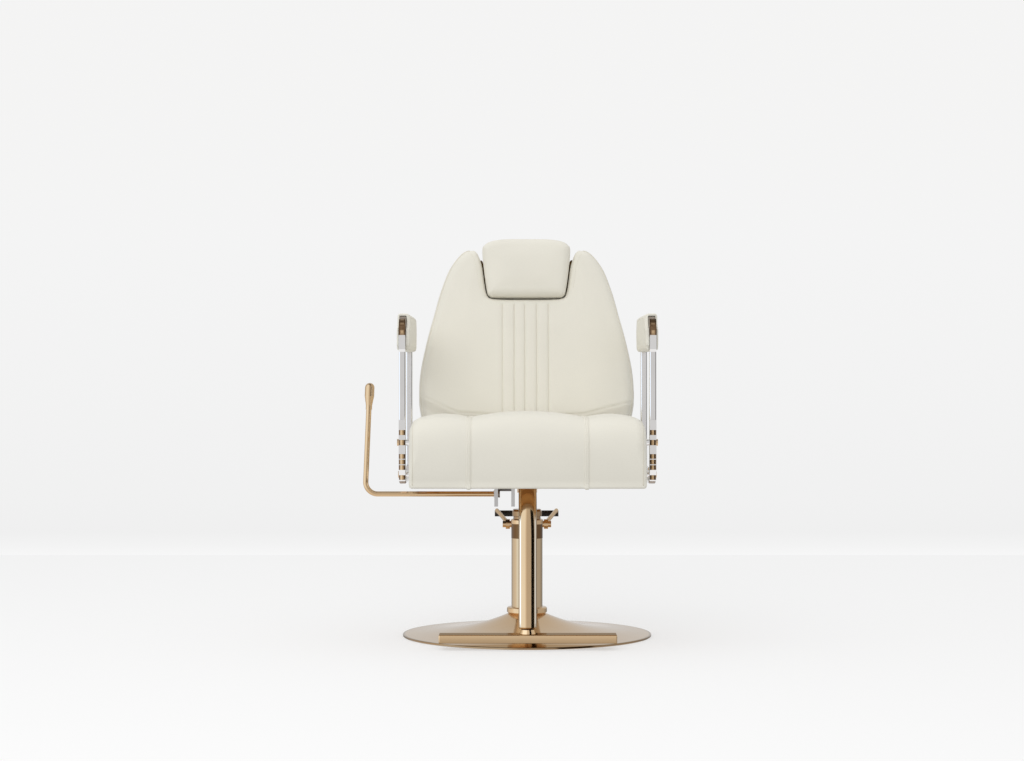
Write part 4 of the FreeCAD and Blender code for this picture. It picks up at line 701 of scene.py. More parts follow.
class Outline:
    """Depth inside a closed curve, positive inside, from the whole curve or from named stretches of it."""

    def __init__(self, curve, stretches=None, step=1.5, margin=30):
        self.curve = np.array(curve, float)
        self.step = step
        self.lo = self.curve.min(0) - margin
        n = ((self.curve.max(0) + margin - self.lo) / step).astype(int) + 2
        U, W = np.meshgrid(self.lo[0] + step * np.arange(n[0]), self.lo[1] + step * np.arange(n[1]), indexing="ij")
        inside = np.zeros(U.shape, bool)
        m = len(self.curve)
        for i in range(m):
            (x0, y0), (x1, y1) = self.curve[i], self.curve[(i + 1) % m]
            if y0 == y1:
                continue
            hit = ((y0 > W) != (y1 > W)) & (U < (x1 - x0) * (W - y0) / (y1 - y0) + x0)
            inside ^= hit
        self.tables = {}
        lines = {"all": [(self.curve[i], self.curve[(i + 1) % m]) for i in range(m)]}
        for key, chosen in (stretches or {}).items():
            lines[key] = [(self.curve[i], self.curve[(i + 1) % m]) for i in range(m) if chosen((self.curve[i] + self.curve[(i + 1) % m]) / 2)]
        for key, segs in lines.items():
            best = np.full(U.shape, 1e9)
            for a, b in segs:
                d = b - a
                t = np.clip(((U - a[0]) * d[0] + (W - a[1]) * d[1]) / max(d @ d, 1e-9), 0, 1)
                best = np.minimum(best, (U - a[0] - t * d[0]) ** 2 + (W - a[1] - t * d[1]) ** 2)
            self.tables[key] = np.where(inside, 1.0, -1.0) * np.sqrt(best)

    def __call__(self, u, v, key="all"):
        T = self.tables[key]
        a = np.clip((u - self.lo[0]) / self.step, 0, T.shape[0] - 1.001)
        b = np.clip((v - self.lo[1]) / self.step, 0, T.shape[1] - 1.001)
        i, j = a.astype(int), b.astype(int)
        fa, fb = a - i, b - j
        return (T[i, j] * (1 - fa) + T[i + 1, j] * fa) * (1 - fb) + (T[i, j + 1] * (1 - fa) + T[i + 1, j + 1] * fa) * fb

    def inset(self, amount, chosen=None, key="all", pitch=3.0):
        """The curve moved inwards, as an open line of (u, v) points."""
        P = np.vstack([self.curve, self.curve[:1]])
        s = np.concatenate([[0], np.cumsum(np.linalg.norm(np.diff(P, axis=0), axis=1))])
        t = np.arange(0, s[-1], pitch)
        P = np.stack([np.interp(t, s, P[:, 0]), np.interp(t, s, P[:, 1])], 1)
        if chosen is not None:
            keep = np.array([bool(chosen(p)) for p in P])
            if not keep.all():
                start = int(np.argmax(~keep))
                P, keep = np.roll(P, -start, axis=0), np.roll(keep, -start)
            P = P[keep]
        c = P.mean(0)
        for _ in range(6):
            e = 0.75
            g = np.stack([self(P[:, 0] + e, P[:, 1], key) - self(P[:, 0] - e, P[:, 1], key),
                          self(P[:, 0], P[:, 1] + e, key) - self(P[:, 0], P[:, 1] - e, key)], 1) / (2 * e)
            g /= np.maximum(np.linalg.norm(g, axis=1, keepdims=True), 0.3)
            P = P + (amount - self(P[:, 0], P[:, 1], key))[:, None] * g * 0.7
        return P


def edge(d, e, r):
    """Negative inside a corner of two walls at depths d and e, rounded with radius r."""
    a, b = r - d, r - e
    return np.sqrt(np.maximum(a, 0) ** 2 + np.maximum(b, 0) ** 2) + np.minimum(np.maximum(a, b), 0) - r


def both(a, b, k=0.0):
    if k <= 0:
        return np.maximum(a, b)
    h = np.maximum(k - np.abs(a - b), 0) / k
    return np.maximum(a, b) + h * h * k / 4


def block(x, y, z, x0, x1, y0, y1, z0, z1):
    return np.maximum.reduce([x0 - x, x - x1, y0 - y, y - y1, z0 - z, z - z1])


def mirror(half):
    return half + [(-x, v) for x, v in half[::-1] if x > 0.01]


def leaning(P):
    c, s = math.cos(math.radians(12)), math.sin(math.radians(12))
    return np.stack([P[..., 0], 215 + P[..., 1] * c + P[..., 2] * s, 430 - P[..., 1] * s + P[..., 2] * c], -1)


def leaning_dir(d):
    c, s = math.cos(math.radians(12)), math.sin(math.radians(12))
    return Vector((d[0], d[1] * c + d[2] * s, -d[1] * s + d[2] * c))


def world_of(P):
    return Vector([float(c) * MM for c in leaning(np.array(P, float))])


def back_line(tree, points, w_from=-130.0, direction=(0, 1, 0)):
    out = []
    for x, v in points:
        hit, normal = drop_on(tree, world_of((x, w_from, v)), leaning_dir(direction))
        if hit is not None:
            out.append((hit, normal))
    return out


def sink(line, depth):
    return [(p - n * depth, n) for p, n in line]


# ------------------------------------------------------------------ seat
SEAM_X = 135.5
SEAT_PUFF = 3.0
profile = [(-294, 369), (150, 369), (152, 461), (163, 523)]
arc_to(profile, (144, 537), 17, -1)
for k in range(0, 25):
    t = k / 24
    profile.append(tuple(sum(c * q for c, q in zip(((1 - t) ** 3, 3 * t * (1 - t) ** 2, 3 * t * t * (1 - t), t ** 3), axis))
                         for axis in ((-226, -284, -300, -300), (541, 541, 512, 440))))
profile += [(-300 + 6 * ((440 - z) / 71) ** 2, z) for z in range(430, 375, -8)]
if Outline(profile, step=6.0)(np.array([0.0]), np.array([450.0]))[0] < 0:
    raise SystemExit("the seat profile is not closed")
SEAT = Outline(profile)


def seat_rise(x):
    a = np.abs(x)
    centre = -2.1 - 12.2 * np.clip(a / SEAM_X, 0, 1) ** 2.6
    inner = -8.1 - 6.2 * np.clip((205 - a) / 69.5, 0, 1) ** 2.2
    outer = -8.1 - 8.0 * np.clip((a - 205) / 65, 0, 1.1) ** 2
    return np.where(a < SEAM_X, centre, np.where(a < 205, inner, outer))


def seat_recess(x):
    a = np.abs(x)
    centre = SEAT_PUFF + 2.6 * np.clip(a / SEAM_X, 0, 1) ** 2.6
    inner = SEAT_PUFF + 0.4 + 2.2 * np.clip((205 - a) / 69.5, 0, 1) ** 2.2
    return np.where(a < SEAM_X, centre, np.where(a < 205, inner, SEAT_PUFF + 0.4))


def seat_outer(x, y, z):
    crown = 4.5 * np.clip(1 - ((y + 60) / 200) ** 2, 0, 1)
    zz = z - (seat_rise(x) + crown) * smooth((z - 430) / 85)
    yy = y - (seat_recess(x) * smooth((z - 366) / 22) + 1.2 * np.clip((462 - z) / 92, 0, 1) ** 1.4) * smooth((-60 - y) / 120)
    d = SEAT(yy, zz)
    r = 7 + 18 * smooth((z - 392) / 70)
    band = 1 - smooth((np.abs(np.abs(x) - SEAM_X) - 3.4) / 2.2)
    side = 275 - 2.0 - np.abs(x)
    return edge(side, d, r) - 2.3 * band


def seat_shape(x, y, z):
    f = seat_outer(x, y, z)
    a = np.abs(x)
    inner = np.minimum(block(x, y, z, -262.3, 262.3, -284.3, 143.3, 300, 418.2), block(x, y, z, -250, 250, 139, 170, 300, 418.2))
    inner = np.minimum(inner, block(a, y, z, 249.8, 262.3, -245.3, 130.3, 399, 486.3))
    for hy, hz in ((-130, 395.5), (120, 395.5), (-178, 472)):
        hole = np.maximum(np.sqrt((y - hy) ** 2 + (z - hz) ** 2) - 7.6, 255 - a)
        inner = np.minimum(inner, hole)
    return np.maximum(f, -inner)


def seat_open(P):
    """1 on the outside of the seat, 0 on the walls of its recesses and at its seams."""
    x, y, z = P[:, 0], P[:, 1], P[:, 2]
    a = np.abs(x)
    inner = np.minimum(block(x, y, z, -262.3, 262.3, -284.3, 143.3, 300, 418.2), block(x, y, z, -250, 250, 139, 170, 300, 418.2))
    inner = np.minimum(inner, block(a, y, z, 249.8, 262.3, -245.3, 130.3, 399, 486.3))
    outside = smooth((5.0 + seat_outer(x, y, z)) / 3.0) * smooth((inner - 1.5) / 4)
    seam = smooth((np.abs(a - SEAM_X) - 5.5) / 12)
    low = smooth((z - 372) / 20)
    return outside * seam * low


def seat_pins(x, y, z):
    a = np.abs(x)
    w = 1 - smooth((np.abs(a - SEAM_X) - 4) / 10)
    w = np.maximum(w, 1 - smooth((np.abs(a - 266) - 2) / 6))
    w = np.maximum(w, 1 - smooth((z - 372) / 22))
    inner = block(x, y, z, -262.3, 262.3, -284.3, 143.3, 300, 418.2)
    return np.maximum(w, 1 - smooth((inner - 1) / 4))


def follow_puff(V, field, gate, amount):
    """Adds the cloth's movement to the fine points, scaled so that most of the surface moves no more than amount."""
    D = field(V) * gate[:, None]
    size = np.linalg.norm(D, axis=1)
    big = np.percentile(size[gate > 0.3], 92) if (gate > 0.3).any() else 1.0
    return V + D * (amount / max(big, 0.05))


V, Q = surface_net(seat_shape, grid(-281, 281, 3.6, (-SEAM_X, SEAM_X, -256, 256), 1.4, 9.0), grid(-308, 170, 3.6), grid(362, 552, 3.6))
swell = puff("seat", lambda x, y, z: seat_outer(x, y, z), grid(-285, 285, 8.0), grid(-314, 176, 8.0), grid(356, 556, 8.0), seat_pins)
V = follow_puff(V, swell, seat_open(V), SEAT_PUFF)
seat = make_mesh("seat_leather", V, Q)
seat.data.materials.append(M_LEATHER)
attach(seat, "seat")
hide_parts("seat_cushion")
seat_tree = surface_tree(seat)


def seat_line(x, start=(-290, 371), end=(150, 380), pitch=3.0):
    """A line of surface points at one x, from under the front edge, over the top, to the rear."""
    P = np.array(profile, float)
    P = np.vstack([P, P[:1]])
    s = np.concatenate([[0], np.cumsum(np.linalg.norm(np.diff(P, axis=0), axis=1))])
    t = np.arange(0, s[-1], pitch)
    P = np.stack([np.interp(t, s, P[:, 0]), np.interp(t, s, P[:, 1])], 1)
    tangent = np.roll(P, -1, axis=0) - np.roll(P, 1, axis=0)
    tangent /= np.linalg.norm(tangent, axis=1, keepdims=True)
    outward = np.stack([tangent[:, 1], -tangent[:, 0]], 1)
    out = []
    for p, n in zip(P, outward):
        if p[1] < 373:
            continue
        origin = Vector((x * MM, (p[0] + n[0] * 30) * MM, (p[1] + n[1] * 30) * MM))
        hit, normal = drop_on(seat_tree, origin, Vector((0, -n[0], -n[1])), 0.06)
        if hit is not None:
            out.append((hit, normal))
    return out


thread = []
for side in (-1, 1):
    for off in (-2.1, 2.1):
        thread += stitch_lines(seat_line(side * (SEAM_X + off)))
cords = [sink(seat_line(side * 264.5), 0.0004) for side in (-1, 1)]
o = tube_mesh("seat_stitching", thread, 0.00042, 6)
o.data.materials.append(M_THREAD)
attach(o, "seat")
o = tube_mesh("seat_piping", cords, 0.00135, 8)
o.data.materials.append(M_LEATHER)
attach(o, "seat")


# ------------------------------------------------------------------ backrest
half = [(0, 22), (205, 22), (238, 36), (256, 64), (266, 104), (270, 139), (270, 179), (267, 216), (260, 261), (250, 307), (238, 353),
        (228, 400), (215, 437), (200, 468), (182, 493), (164, 513), (150, 522), (138, 523), (127, 516), (121, 505), (112, 477), (106, 434),
        (101, 408), (92, 395), (60, 391.5), (0, 391)]
def waist(v):
    """How far the finished leather edge lies inside the foam's own outline at height v."""
    return float(np.interp(v, [0, 90, 150, 180, 218, 243, 268, 320, 350, 380, 400, 420, 441, 461, 482, 500, 540],
                           [0, -1.5, -0.5, 0.3, 1.2, 2.0, 3.0, 3.4, 3.6, 4.8, 5.8, 5.6, 4.5, 2.8, 0.0, -2.2, -2.2]))


def in_notch(p):
    return abs(p[0]) < 142 and p[1] > 380


BACK_FOAM = Outline(soften(mirror(half), 5), {"outer": lambda p: not in_notch(p), "notch": in_notch})
half = [(x - waist(v) if x > 145 else x, v) for x, v in half]
BACK = Outline(soften(mirror(half), 5), {"outer": lambda p: not in_notch(p), "notch": in_notch})
BACK_PUFF = 2.5
GROOVES = (-60.2, -30.6, -4.0, 25.8, 55.6)


def fold_line(x):
    left = 88 + 10 * np.clip(-x / 175, 0, 1) + 0.50 * np.clip(-x - 175, 0, 100)
    right = 88 + 7 * np.clip(x / 147, 0, 1) + 0.27 * np.clip(x - 147, 0, 120)
    return np.where(x < 0, left, right)


def back_face(x, v):
    """How far the front surface lies behind the front-most plane."""
    d = np.minimum(BACK(x, v, "outer"), BACK(x, v, "notch") + 30)
    crown = 6.0 * (1 - smooth((d - 8) / 95))
    a = np.abs(x)
    near = np.min([np.abs(x - g) for g in GROOVES], axis=0)
    within = (x > GROOVES[0]) & (x < GROOVES[-1])
    t = np.clip(1 - near / np.where(within, 13.3, 16.0), 0, 1)
    groove = (3.0 * t ** 3.2 + 0.9 * np.exp(-(near / 1.5) ** 2)) * smooth((386 - v) / 16)
    low = 11.0 * smooth((fold_line(x) - v + 3) / 34) + 1.8 * np.exp(-((v - fold_line(x)) / 2.6) ** 2) * smooth((a - 70) / 30)
    return BACK_PUFF + crown + groove + low


def back_outer(x, w, v):
    face = w + 66 - back_face(x, v)
    do, dn = BACK(x, v, "outer"), BACK(x, v, "notch")
    front = both(edge(do, face, 30.0), edge(dn, face, 17.0), 7.0)
    rear = edge(np.minimum(do, dn), 20 - w, 4.0)
    return np.maximum(front, rear)


def back_hollow(x, w, v):
    a = np.abs(x)
    inner = np.maximum.reduce([12.6 - BACK_FOAM(x, v), 2.7 - w, 32.6 - v])
    inner = np.minimum(inner, block(a, w, v, 204, 238, 2.7, 30, 10, 81))
    inner = np.minimum(inner, block(x, w, v, -62, -46, 2.7, 30, 10, 46))
    bore = np.maximum(np.sqrt((a - 45) ** 2 + (w + 25) ** 2) - 7.3, 214 - v)
    return np.minimum(inner, bore)


def back_shape(x, w, v):
    return np.maximum(back_outer(x, w, v), -back_hollow(x, w, v))


def back_open(P):
    x, w, v = P[:, 0], P[:, 1], P[:, 2]
    a = np.abs(x)
    front = smooth((-8 - w) / 16) * smooth((back_hollow(x, w, v) - 1.5) / 4)
    near = np.min([np.abs(x - g) for g in GROOVES], axis=0)
    channel = 1 - (1 - smooth(near / 9)) * smooth((392 - v) / 16)
    fold = 1 - 0.9 * np.exp(-((v - fold_line(x)) / 8) ** 2)
    rim = smooth((np.minimum(BACK(x, v, "outer"), BACK(x, v, "notch")) + 1.5) / 14)
    return front * channel * fold * rim


def back_pins(x, w, v):
    near = np.min([np.abs(x - g) for g in GROOVES], axis=0)
    p = (1 - smooth((near - 2) / 6)) * smooth((390 - v) / 10)
    p = np.maximum(p, np.exp(-((v - fold_line(x)) / 7) ** 2))
    p = np.maximum(p, smooth((w + 22) / 14))
    return np.maximum(p, 1 - smooth((np.minimum(BACK(x, v, "outer"), BACK(x, v, "notch")) - 2) / 8))


V, Q = surface_net(back_shape, grid(-276, 276, 3.4, GROOVES, 1.5, 8.0), grid(-72, 26, 3.0), grid(14, 532, 3.4))
swell = puff("back", back_outer, grid(-284, 284, 8.0), grid(-84, 36, 7.0), grid(4, 544, 8.0), back_pins)
V = follow_puff(V, swell, back_open(V), BACK_PUFF)
back = make_mesh("back_leather", V, Q, leaning)
back.data.materials.append(M_LEATHER)
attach(back, "back")
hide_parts("back_cushion")
back_tree = surface_tree(back)

rim_line = back_line(back_tree, BACK.inset(5.0, lambda p: not in_notch(p), "outer"))
horn_lines = [back_line(back_tree, BACK.inset(15.0, lambda p, s=side: in_notch(p) and p[0] * s > 104 and p[1] > 420, "notch")) for side in (-1, 1)]
fold_lines = [back_line(back_tree, [(side * x, fold_line(x) + 1.5) for x in np.arange(20, 252, 3.0)]) for side in (-1, 1)]
o = tube_mesh("back_piping", [sink(l, 0.0006) for l in [rim_line]], 0.0022, 10)
o.data.materials.append(M_LEATHER)
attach(o, "back")
thread = []
for l in horn_lines + fold_lines:
    if len(l) > 4:
        thread += stitch_lines(l)
o = tube_mesh("back_stitching", thread, 0.00038, 6)
o.data.materials.append(M_THREAD)
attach(o, "back")


# a dark piping closes the gap round the headrest from behind; its dark brown is painted shade for that gap
gap = BACK.inset(-3.6, lambda p: abs(p[0]) < 122 and 380 < p[1] < 506, "notch")
gap = gap[np.argsort(np.arctan2(gap[:, 0], 470 - gap[:, 1]))]
normal_out = leaning_dir((0, -1, 0))
o = tube_mesh("notch_piping", [[(world_of((x, -1.0, v)), normal_out) for x, v in gap]], 0.0040, 10)
o.data.materials.append(M_GAP_SHADE_CORD)
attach(o, "back")


# ------------------------------------------------------------------ rear cover of the backrest
def rear_shape(x, w, v):
    d = BACK(x, v) - 5
    swell_ = 2.2 * smooth((d - 14) / 60)
    groove = 1.4 * np.exp(-((d - 16) / 2.6) ** 2)
    f = edge(d, 31 + swell_ - groove - w, 9.0)
    return np.maximum.reduce([f, 21.2 - w, 26.2 - v])


V, Q = surface_net(rear_shape, grid(-274, 274, 3.4), grid(16, 40, 2.0), grid(18, 530, 3.4))
rear = make_mesh("rear_cover_leather", V, Q, leaning)
rear.data.materials.append(M_LEATHER_BACK)
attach(rear, "back")
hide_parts("rear_cover")
rear_tree = surface_tree(rear)
rear_stitch = back_line(rear_tree, [p for p in BACK.inset(24.5, lambda p: p[1] > 40)], 80.0, (0, -1, 0))
o = tube_mesh("rear_cover_stitching", stitch_lines(rear_stitch), 0.0004, 6)
o.data.materials.append(M_THREAD)
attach(o, "back")


# ------------------------------------------------------------------ headrest
hd = [(0, 548), (58, 547), (92, 541), (107, 531), (112, 518), (107, 463), (99.5, 410), (93, 399), (80, 395.5), (0, 395)]
HEAD = Outline(soften(mirror(hd), 6))
HEAD_PUFF = 2.5


def head_outer(x, w, v):
    d = HEAD(x, v) - 0.3
    crown = 3.0 * (1 - smooth((d - 6) / 46))
    front = edge(d, w + 78 - HEAD_PUFF - crown, 20.0)
    rear_ = edge(d, -8 - w, 12.0)
    welt = 0.9 * np.exp(-((w + 30) / 1.8) ** 2)
    return np.maximum(front, rear_) + welt


def head_shape(x, w, v):
    bore = np.maximum(np.sqrt((np.abs(x) - 45) ** 2 + (w + 25) ** 2) - 5.6, v - 440)
    return np.maximum(head_outer(x, w, v), -bore)


def head_open(P):
    x, w, v = P[:, 0], P[:, 1], P[:, 2]
    bore = np.maximum(np.sqrt((np.abs(x) - 45) ** 2 + (w + 25) ** 2) - 5.6, v - 440)
    low = 0.35 + 0.65 * smooth((v - 398) / 20)
    side = 0.25 + 0.75 * smooth((-34 - w) / 22)
    return smooth((np.abs(w + 30) - 2) / 8) * smooth((bore - 1) / 4) * low * side


def head_pins(x, w, v):
    return np.maximum(np.exp(-((w + 30) / 6) ** 2), 1 - smooth((v - 399) / 8))


V, Q = surface_net(head_shape, grid(-118, 118, 2.8), grid(-86, -2, 2.8, (-30,), 1.2, 5.0), grid(388, 556, 2.8))
swell = puff("head", head_outer, grid(-124, 124, 6.0), grid(-92, 4, 6.0), grid(382, 562, 6.0), head_pins)
V = follow_puff(V, swell, head_open(V), HEAD_PUFF)
head = make_mesh("headrest_leather", V, Q, leaning)
head.data.materials.append(M_LEATHER)
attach(head, "headrest")
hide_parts("headrest_cushion")


# ------------------------------------------------------------------ arm pads
pad_curve = [(-176, 688), (178, 688)]
arc_to(pad_curve, (200, 710), 22, 1)
pad_curve.append((200, 749))
arc_to(pad_curve, (174, 775), 26, 1)
pad_curve.append((-150, 775))
arc_to(pad_curve, (-186, 739), 36, 1)
pad_curve.append((-186, 698))
arc_to(pad_curve, (-176, 688), 10, 1)
PAD = Outline(pad_curve[:-1])


def round_rect(y, z, y0, y1, z0, z1, r):
    cy, cz, hy, hz = (y0 + y1) / 2, (z0 + z1) / 2, (y1 - y0) / 2 - r, (z1 - z0) / 2 - r
    qy, qz = np.abs(y - cy) - hy, np.abs(z - cz) - hz
    return np.sqrt(np.maximum(qy, 0) ** 2 + np.maximum(qz, 0) ** 2) + np.minimum(np.maximum(qy, qz), 0) - r


def loop_space(a, y, z):
    g = 0.35
    ring = np.maximum(round_rect(y, z, -190 - g, 190 + g, 374 - g, 768 + g, 45 + g), -round_rect(y, z, -166 + g, 166 - g, 398 + g, 744 - g, 21 - g))
    bar = np.maximum.reduce([ring, 285 - g - a, a - 301 - g])
    front = block(a, y, z, 285, 301, -230, -189, 640, 768.5)
    return np.minimum(bar, np.maximum(front, round_rect(y, z, -199, 190, 374, 769, 50)))


def pad_outer(a, y, z):
    d = PAD(y, z) - 0.2
    along = smooth((y + 186) / 70) * smooth((200 - y) / 70)
    high = smooth((z - 738) / 24)
    inner = edge(d, a - (275.8 - 1.6 * along), 8.0 + 4.0 * high)
    outer = edge(d, 305.8 - a, 4.0 + 3.0 * high)
    return np.maximum(inner, outer)


def pad_shape(a, y, z):
    return np.maximum(pad_outer(a, y, z), -loop_space(a, y, z))


V, Q = surface_net(pad_shape, grid(270, 312, 1.5), grid(-196, 208, 3.2, (-186,), 1.6, 6.0), grid(682, 781, 2.6))
pad_field = None
gate = smooth((283.5 - V[:, 0]) / 6) * smooth((PAD(V[:, 1], V[:, 2]) + 1) / 10)
swell = puff("pad", pad_outer, grid(264, 318, 5.0), grid(-202, 214, 6.5), grid(676, 787, 6.5), lambda a, y, z: smooth((a - 283) / 5))
V = follow_puff(V, swell, gate, 1.6)
for side, name in ((1, "right"), (-1, "left")):
    pts = V.copy()
    faces = Q
    if side < 0:
        pts[:, 0] *= -1
        faces = Q[:, ::-1]
    node = "arm_pad_" + name
    lo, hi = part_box(node)
    if (lo[0] + hi[0]) * side < 0:
        raise SystemExit("the pad sides are swapped")
    o = make_mesh(node + "_leather", pts, faces)
    o.data.materials.append(M_LEATHER)
    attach(o, "seat")
    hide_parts(node)
    tree = surface_tree(o)
    line = []
    for y, z in PAD.inset(10.0, lambda p: True):
        hit, normal = drop_on(tree, (side * 0.255, y * MM, z * MM), (side, 0, 0), 0.05)
        if hit is not None:
            line.append((hit, normal))
    t = tube_mesh(node + "_stitching", stitch_lines(line), 0.00036, 6)
    t.data.materials.append(M_THREAD)
    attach(t, "seat")


# ------------------------------------------------------------------ stage
def plane_mesh(name, corners):
    me = bpy.data.meshes.new(name)
    me.from_pydata(corners, [], [tuple(range(len(corners)))])
    me.update()
    o = bpy.data.objects.new(name, me)
    scene.collection.objects.link(o)
    return o


def emission(name, color, strength):
    m = bpy.data.materials.new(name)
    m.use_nodes = True
    nt = m.node_tree
    nt.nodes.clear()
    out = nt.nodes.new("ShaderNodeOutputMaterial")
    e = nt.nodes.new("ShaderNodeEmission")
    e.inputs[0].default_value = (*color, 1)
    e.inputs[1].default_value = strength
    nt.links.new(e.outputs[0], out.inputs[0])
    return m


def one_sided(nt, shader, out):
    geo = nt.nodes.new("ShaderNodeNewGeometry")
    clear = nt.nodes.new("ShaderNodeBsdfTransparent")
    mix = nt.nodes.new("ShaderNodeMixShader")
    nt.links.new(geo.outputs["Backfacing"], mix.inputs[0])
    nt.links.new(shader, mix.inputs[1])
    nt.links.new(clear.outputs[0], mix.inputs[2])
    nt.links.new(mix.outputs[0], out.inputs[0])


FLOOR = (0.905, 0.905, 0.905)
floor_mat = bpy.data.materials.new("studio_floor")
floor_mat.use_nodes = True
nt = floor_mat.node_tree
nt.nodes.clear()
out = nt.nodes.new("ShaderNodeOutputMaterial")
diffuse = nt.nodes.new("ShaderNodeBsdfDiffuse")
diffuse.inputs[0].default_value = (0.42, 0.42, 0.42, 1)
glow = nt.nodes.new("ShaderNodeEmission")
glow.inputs[0].default_value = (0.5, 0.5, 0.5, 1)
glow.inputs[1].default_value = 1.0
total = nt.nodes.new("ShaderNodeAddShader")
nt.links.new(diffuse.outputs[0], total.inputs[0])
nt.links.new(glow.outputs[0], total.inputs[1])
one_sided(nt, total.outputs[0], out)
floor = plane_mesh("stage_floor", [(-8, -9, 0), (8, -9, 0), (8, 9, 0), (-8, 9, 0)])
floor.data.materials.append(floor_mat)
floor.visible_glossy = False
floor.visible_diffuse = False

# the wall, a flat picture for the camera only; its ramp paints the shade of a soft cove, darker just above the floor
wall_mat = bpy.data.materials.new("studio_wall")
wall_mat.use_nodes = True
nt = wall_mat.node_tree
nt.nodes.clear()
out = nt.nodes.new("ShaderNodeOutputMaterial")
geo = nt.nodes.new("ShaderNodeNewGeometry")
sep = nt.nodes.new("ShaderNodeSeparateXYZ")
nt.links.new(geo.outputs["Position"], sep.inputs[0])
ramp = nt.nodes.new("ShaderNodeValToRGB")
nt.links.new(remap(nt, sep.outputs[2], 0.0, 1.0, 0.0, 1.6), ramp.inputs[0])
els = ramp.color_ramp.elements
els[0].position, els[0].color = 0.0, (0.93, 0.93, 0.93, 1)
els[1].position, els[1].color = 1.0, (0.907, 0.905, 0.902, 1)
# painted cove shade: a darker band just above the floor
for pos, val in ((0.02, 0.90), (0.05, 0.868), (0.12, 0.878), (0.35, 0.892), (0.7, 0.906)):
    e_ = els.new(pos)
    e_.color = (val, val, val, 1)
shine = nt.nodes.new("ShaderNodeEmission")
nt.links.new(ramp.outputs[0], shine.inputs[0])
one_sided(nt, shine.outputs[0], out)
wall = plane_mesh("stage_wall", [(-8, 2.49, 0), (8, 2.49, 0), (8, 2.49, 6), (-8, 2.49, 6)])
wall.data.materials.append(wall_mat)
for flag in ("visible_diffuse", "visible_glossy", "visible_shadow", "visible_transmission"):
    setattr(wall, flag, False)


world = bpy.data.worlds.new("studio")
scene.world = world
world.use_nodes = True
world.cycles.sampling_method = "NONE"
nt = world.node_tree
nt.nodes.clear()


def ease(value, a, b, lo, hi):
    n = add(nt, "ShaderNodeMapRange", [("Value", value), ("From Min", a), ("From Max", b), ("To Min", lo), ("To Max", hi)])
    n.interpolation_type = "SMOOTHSTEP"
    return n.outputs[0]


def ramp_of(value, stops, smooth_ends=False):
    r = nt.nodes.new("ShaderNodeValToRGB")
    nt.links.new(value, r.inputs[0])
    e = r.color_ramp.elements
    e[0].position, e[0].color = stops[0][0], (*stops[0][1], 1)
    e[1].position, e[1].color = stops[-1][0], (*stops[-1][1], 1)
    for pos, c in stops[1:-1]:
        e.new(pos).color = (*c, 1)
    return r.outputs[0]


def grey(v, tint=(1, 1, 1)):
    return tuple(v * t for t in tint)


out = nt.nodes.new("ShaderNodeOutputWorld")
tc = nt.nodes.new("ShaderNodeTexCoord")
sep = nt.nodes.new("ShaderNodeSeparateXYZ")
nt.links.new(tc.outputs["Generated"], sep.inputs[0])
dx, dy, dz = sep.outputs
# what lights the soft surfaces: bright above, dimmer below, a little brighter from the left
soft_sky = ramp_of(remap(nt, dz, 0.0, 1.0, -1.0, 1.0), [(0.0, grey(1.0)), (0.12, grey(0.80)), (0.36, grey(0.52)), (0.43, grey(0.55)), (0.50, grey(0.80)), (0.66, grey(0.97)), (1.0, grey(1.10))])
soft_level = remap(nt, dx, 0.93, 0.80, -1.0, 1.0)
# what the polished metal mirrors: light panels and dark gaps standing round the set
COOL = (1.0, 1.13, 1.28)
turn = math_node(nt, "ARCTAN2", dx, math_node(nt, "MULTIPLY", dy, -1.0))
turn01 = remap(nt, turn, 0.0, 1.0, -math.pi, math.pi)
stops = [(-180, grey(0.74)), (-174, grey(0.74)), (-168, grey(0.30)), (-150, grey(0.42)), (-132, grey(0.80)), (-112, grey(0.92)), (-92, grey(1.05)), (-80, grey(1.15, COOL)),
         (-24, grey(1.12, COOL)), (-13, grey(0.92)), (-8, grey(0.66)), (26, grey(0.66)), (29, grey(0.008)), (61, grey(0.008)),
         (64, grey(0.62)), (110, grey(0.60)), (130, grey(0.42)), (168, grey(0.30)), (174, grey(0.74)), (180, grey(0.74))]
panels = ramp_of(turn01, [((a + 180) / 360, c) for a, c in stops])
behind = ease(dy, 0.05, 0.35, 0.0, 1.0)
high = ease(dz, 0.86, 0.95, 1.0, 0.45)
low_mix = ease(dz, -0.45, -0.30, 1.0, 0.0)
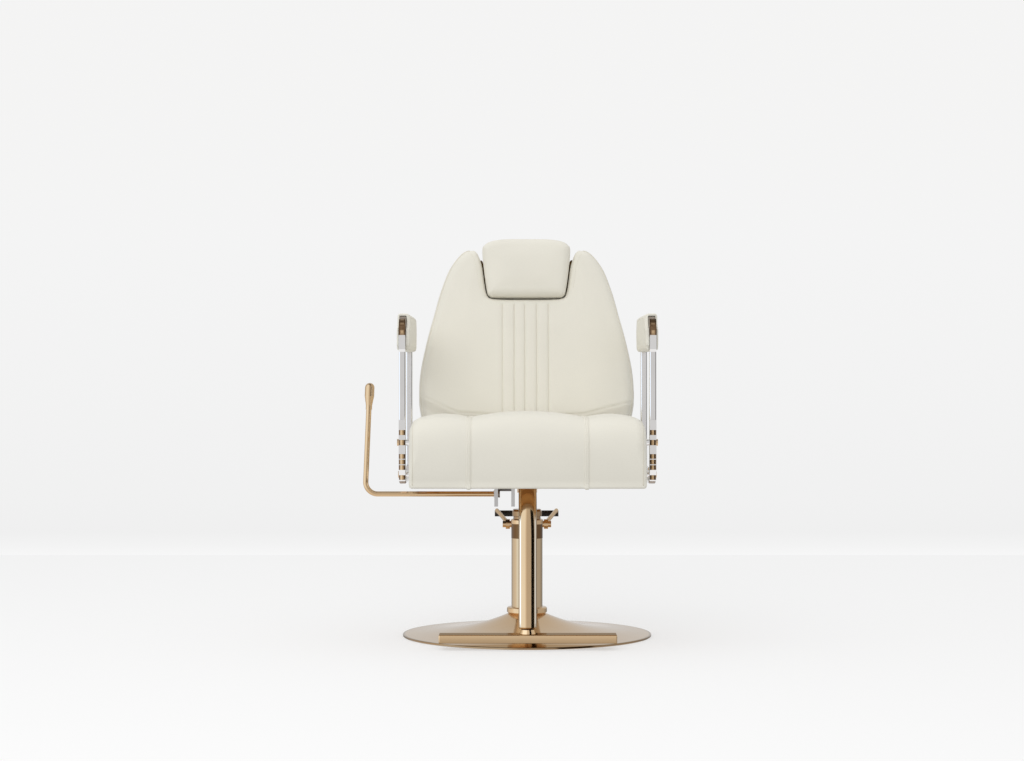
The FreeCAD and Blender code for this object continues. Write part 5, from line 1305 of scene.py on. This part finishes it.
# the wall at the back, seen only by faces that look up and away
back_wall = math_node(nt, "MULTIPLY", behind, ease(dz, -0.01, 0.03, 0.0, 1.0))
mirror_level = high
walled = mix_color(nt, back_wall, panels, (0.665, 0.675, 0.68))
mirror_colour = mix_color(nt, low_mix, walled, (0.88, 0.88, 0.88))
bg_soft = nt.nodes.new("ShaderNodeBackground")
nt.links.new(soft_sky, bg_soft.inputs[0])
nt.links.new(soft_level, bg_soft.inputs[1])
bg_mirror = nt.nodes.new("ShaderNodeBackground")
nt.links.new(mirror_colour, bg_mirror.inputs[0])
nt.links.new(mirror_level, bg_mirror.inputs[1])
path = nt.nodes.new("ShaderNodeLightPath")
pick = nt.nodes.new("ShaderNodeMixShader")
nt.links.new(path.outputs["Is Glossy Ray"], pick.inputs[0])
nt.links.new(bg_soft.outputs[0], pick.inputs[1])
nt.links.new(bg_mirror.outputs[0], pick.inputs[2])
nt.links.new(pick.outputs[0], out.inputs[0])


def softbox(name, location, target, size, power, color=(1, 1, 1)):
    l = bpy.data.lights.new(name, "AREA")
    l.shape = "RECTANGLE"
    l.size, l.size_y = size
    l.energy = power
    l.color = color
    o = bpy.data.objects.new(name, l)
    scene.collection.objects.link(o)
    o.location = location
    o.rotation_mode = "QUATERNION"
    o.rotation_quaternion = (Vector(target) - Vector(location)).to_track_quat("-Z", "Y")
    o.visible_camera = False
    o.visible_glossy = False
    return o


softbox("key_above", (-1.2, -1.0, 3.0), (0, 0, 0.5), (2.4, 2.0), 7.0)
softbox("key_front", (-0.9, -4.9, 2.5), (0, 0, 0.6), (4.0, 2.6), 60.0)

camera_data = bpy.data.cameras.new("camera")
camera_data.lens = 78.43
camera_data.sensor_width = 36.0
camera_data.clip_start, camera_data.clip_end = 0.05, 60.0
camera = bpy.data.objects.new("camera", camera_data)
scene.collection.objects.link(camera)
camera.location = (-0.0363, -5.400, 0.617)
camera.rotation_euler = (math.radians(90), 0, 0)
scene.camera = camera
scene.view_settings.view_transform = "Standard"
scene.view_settings.look = "None"
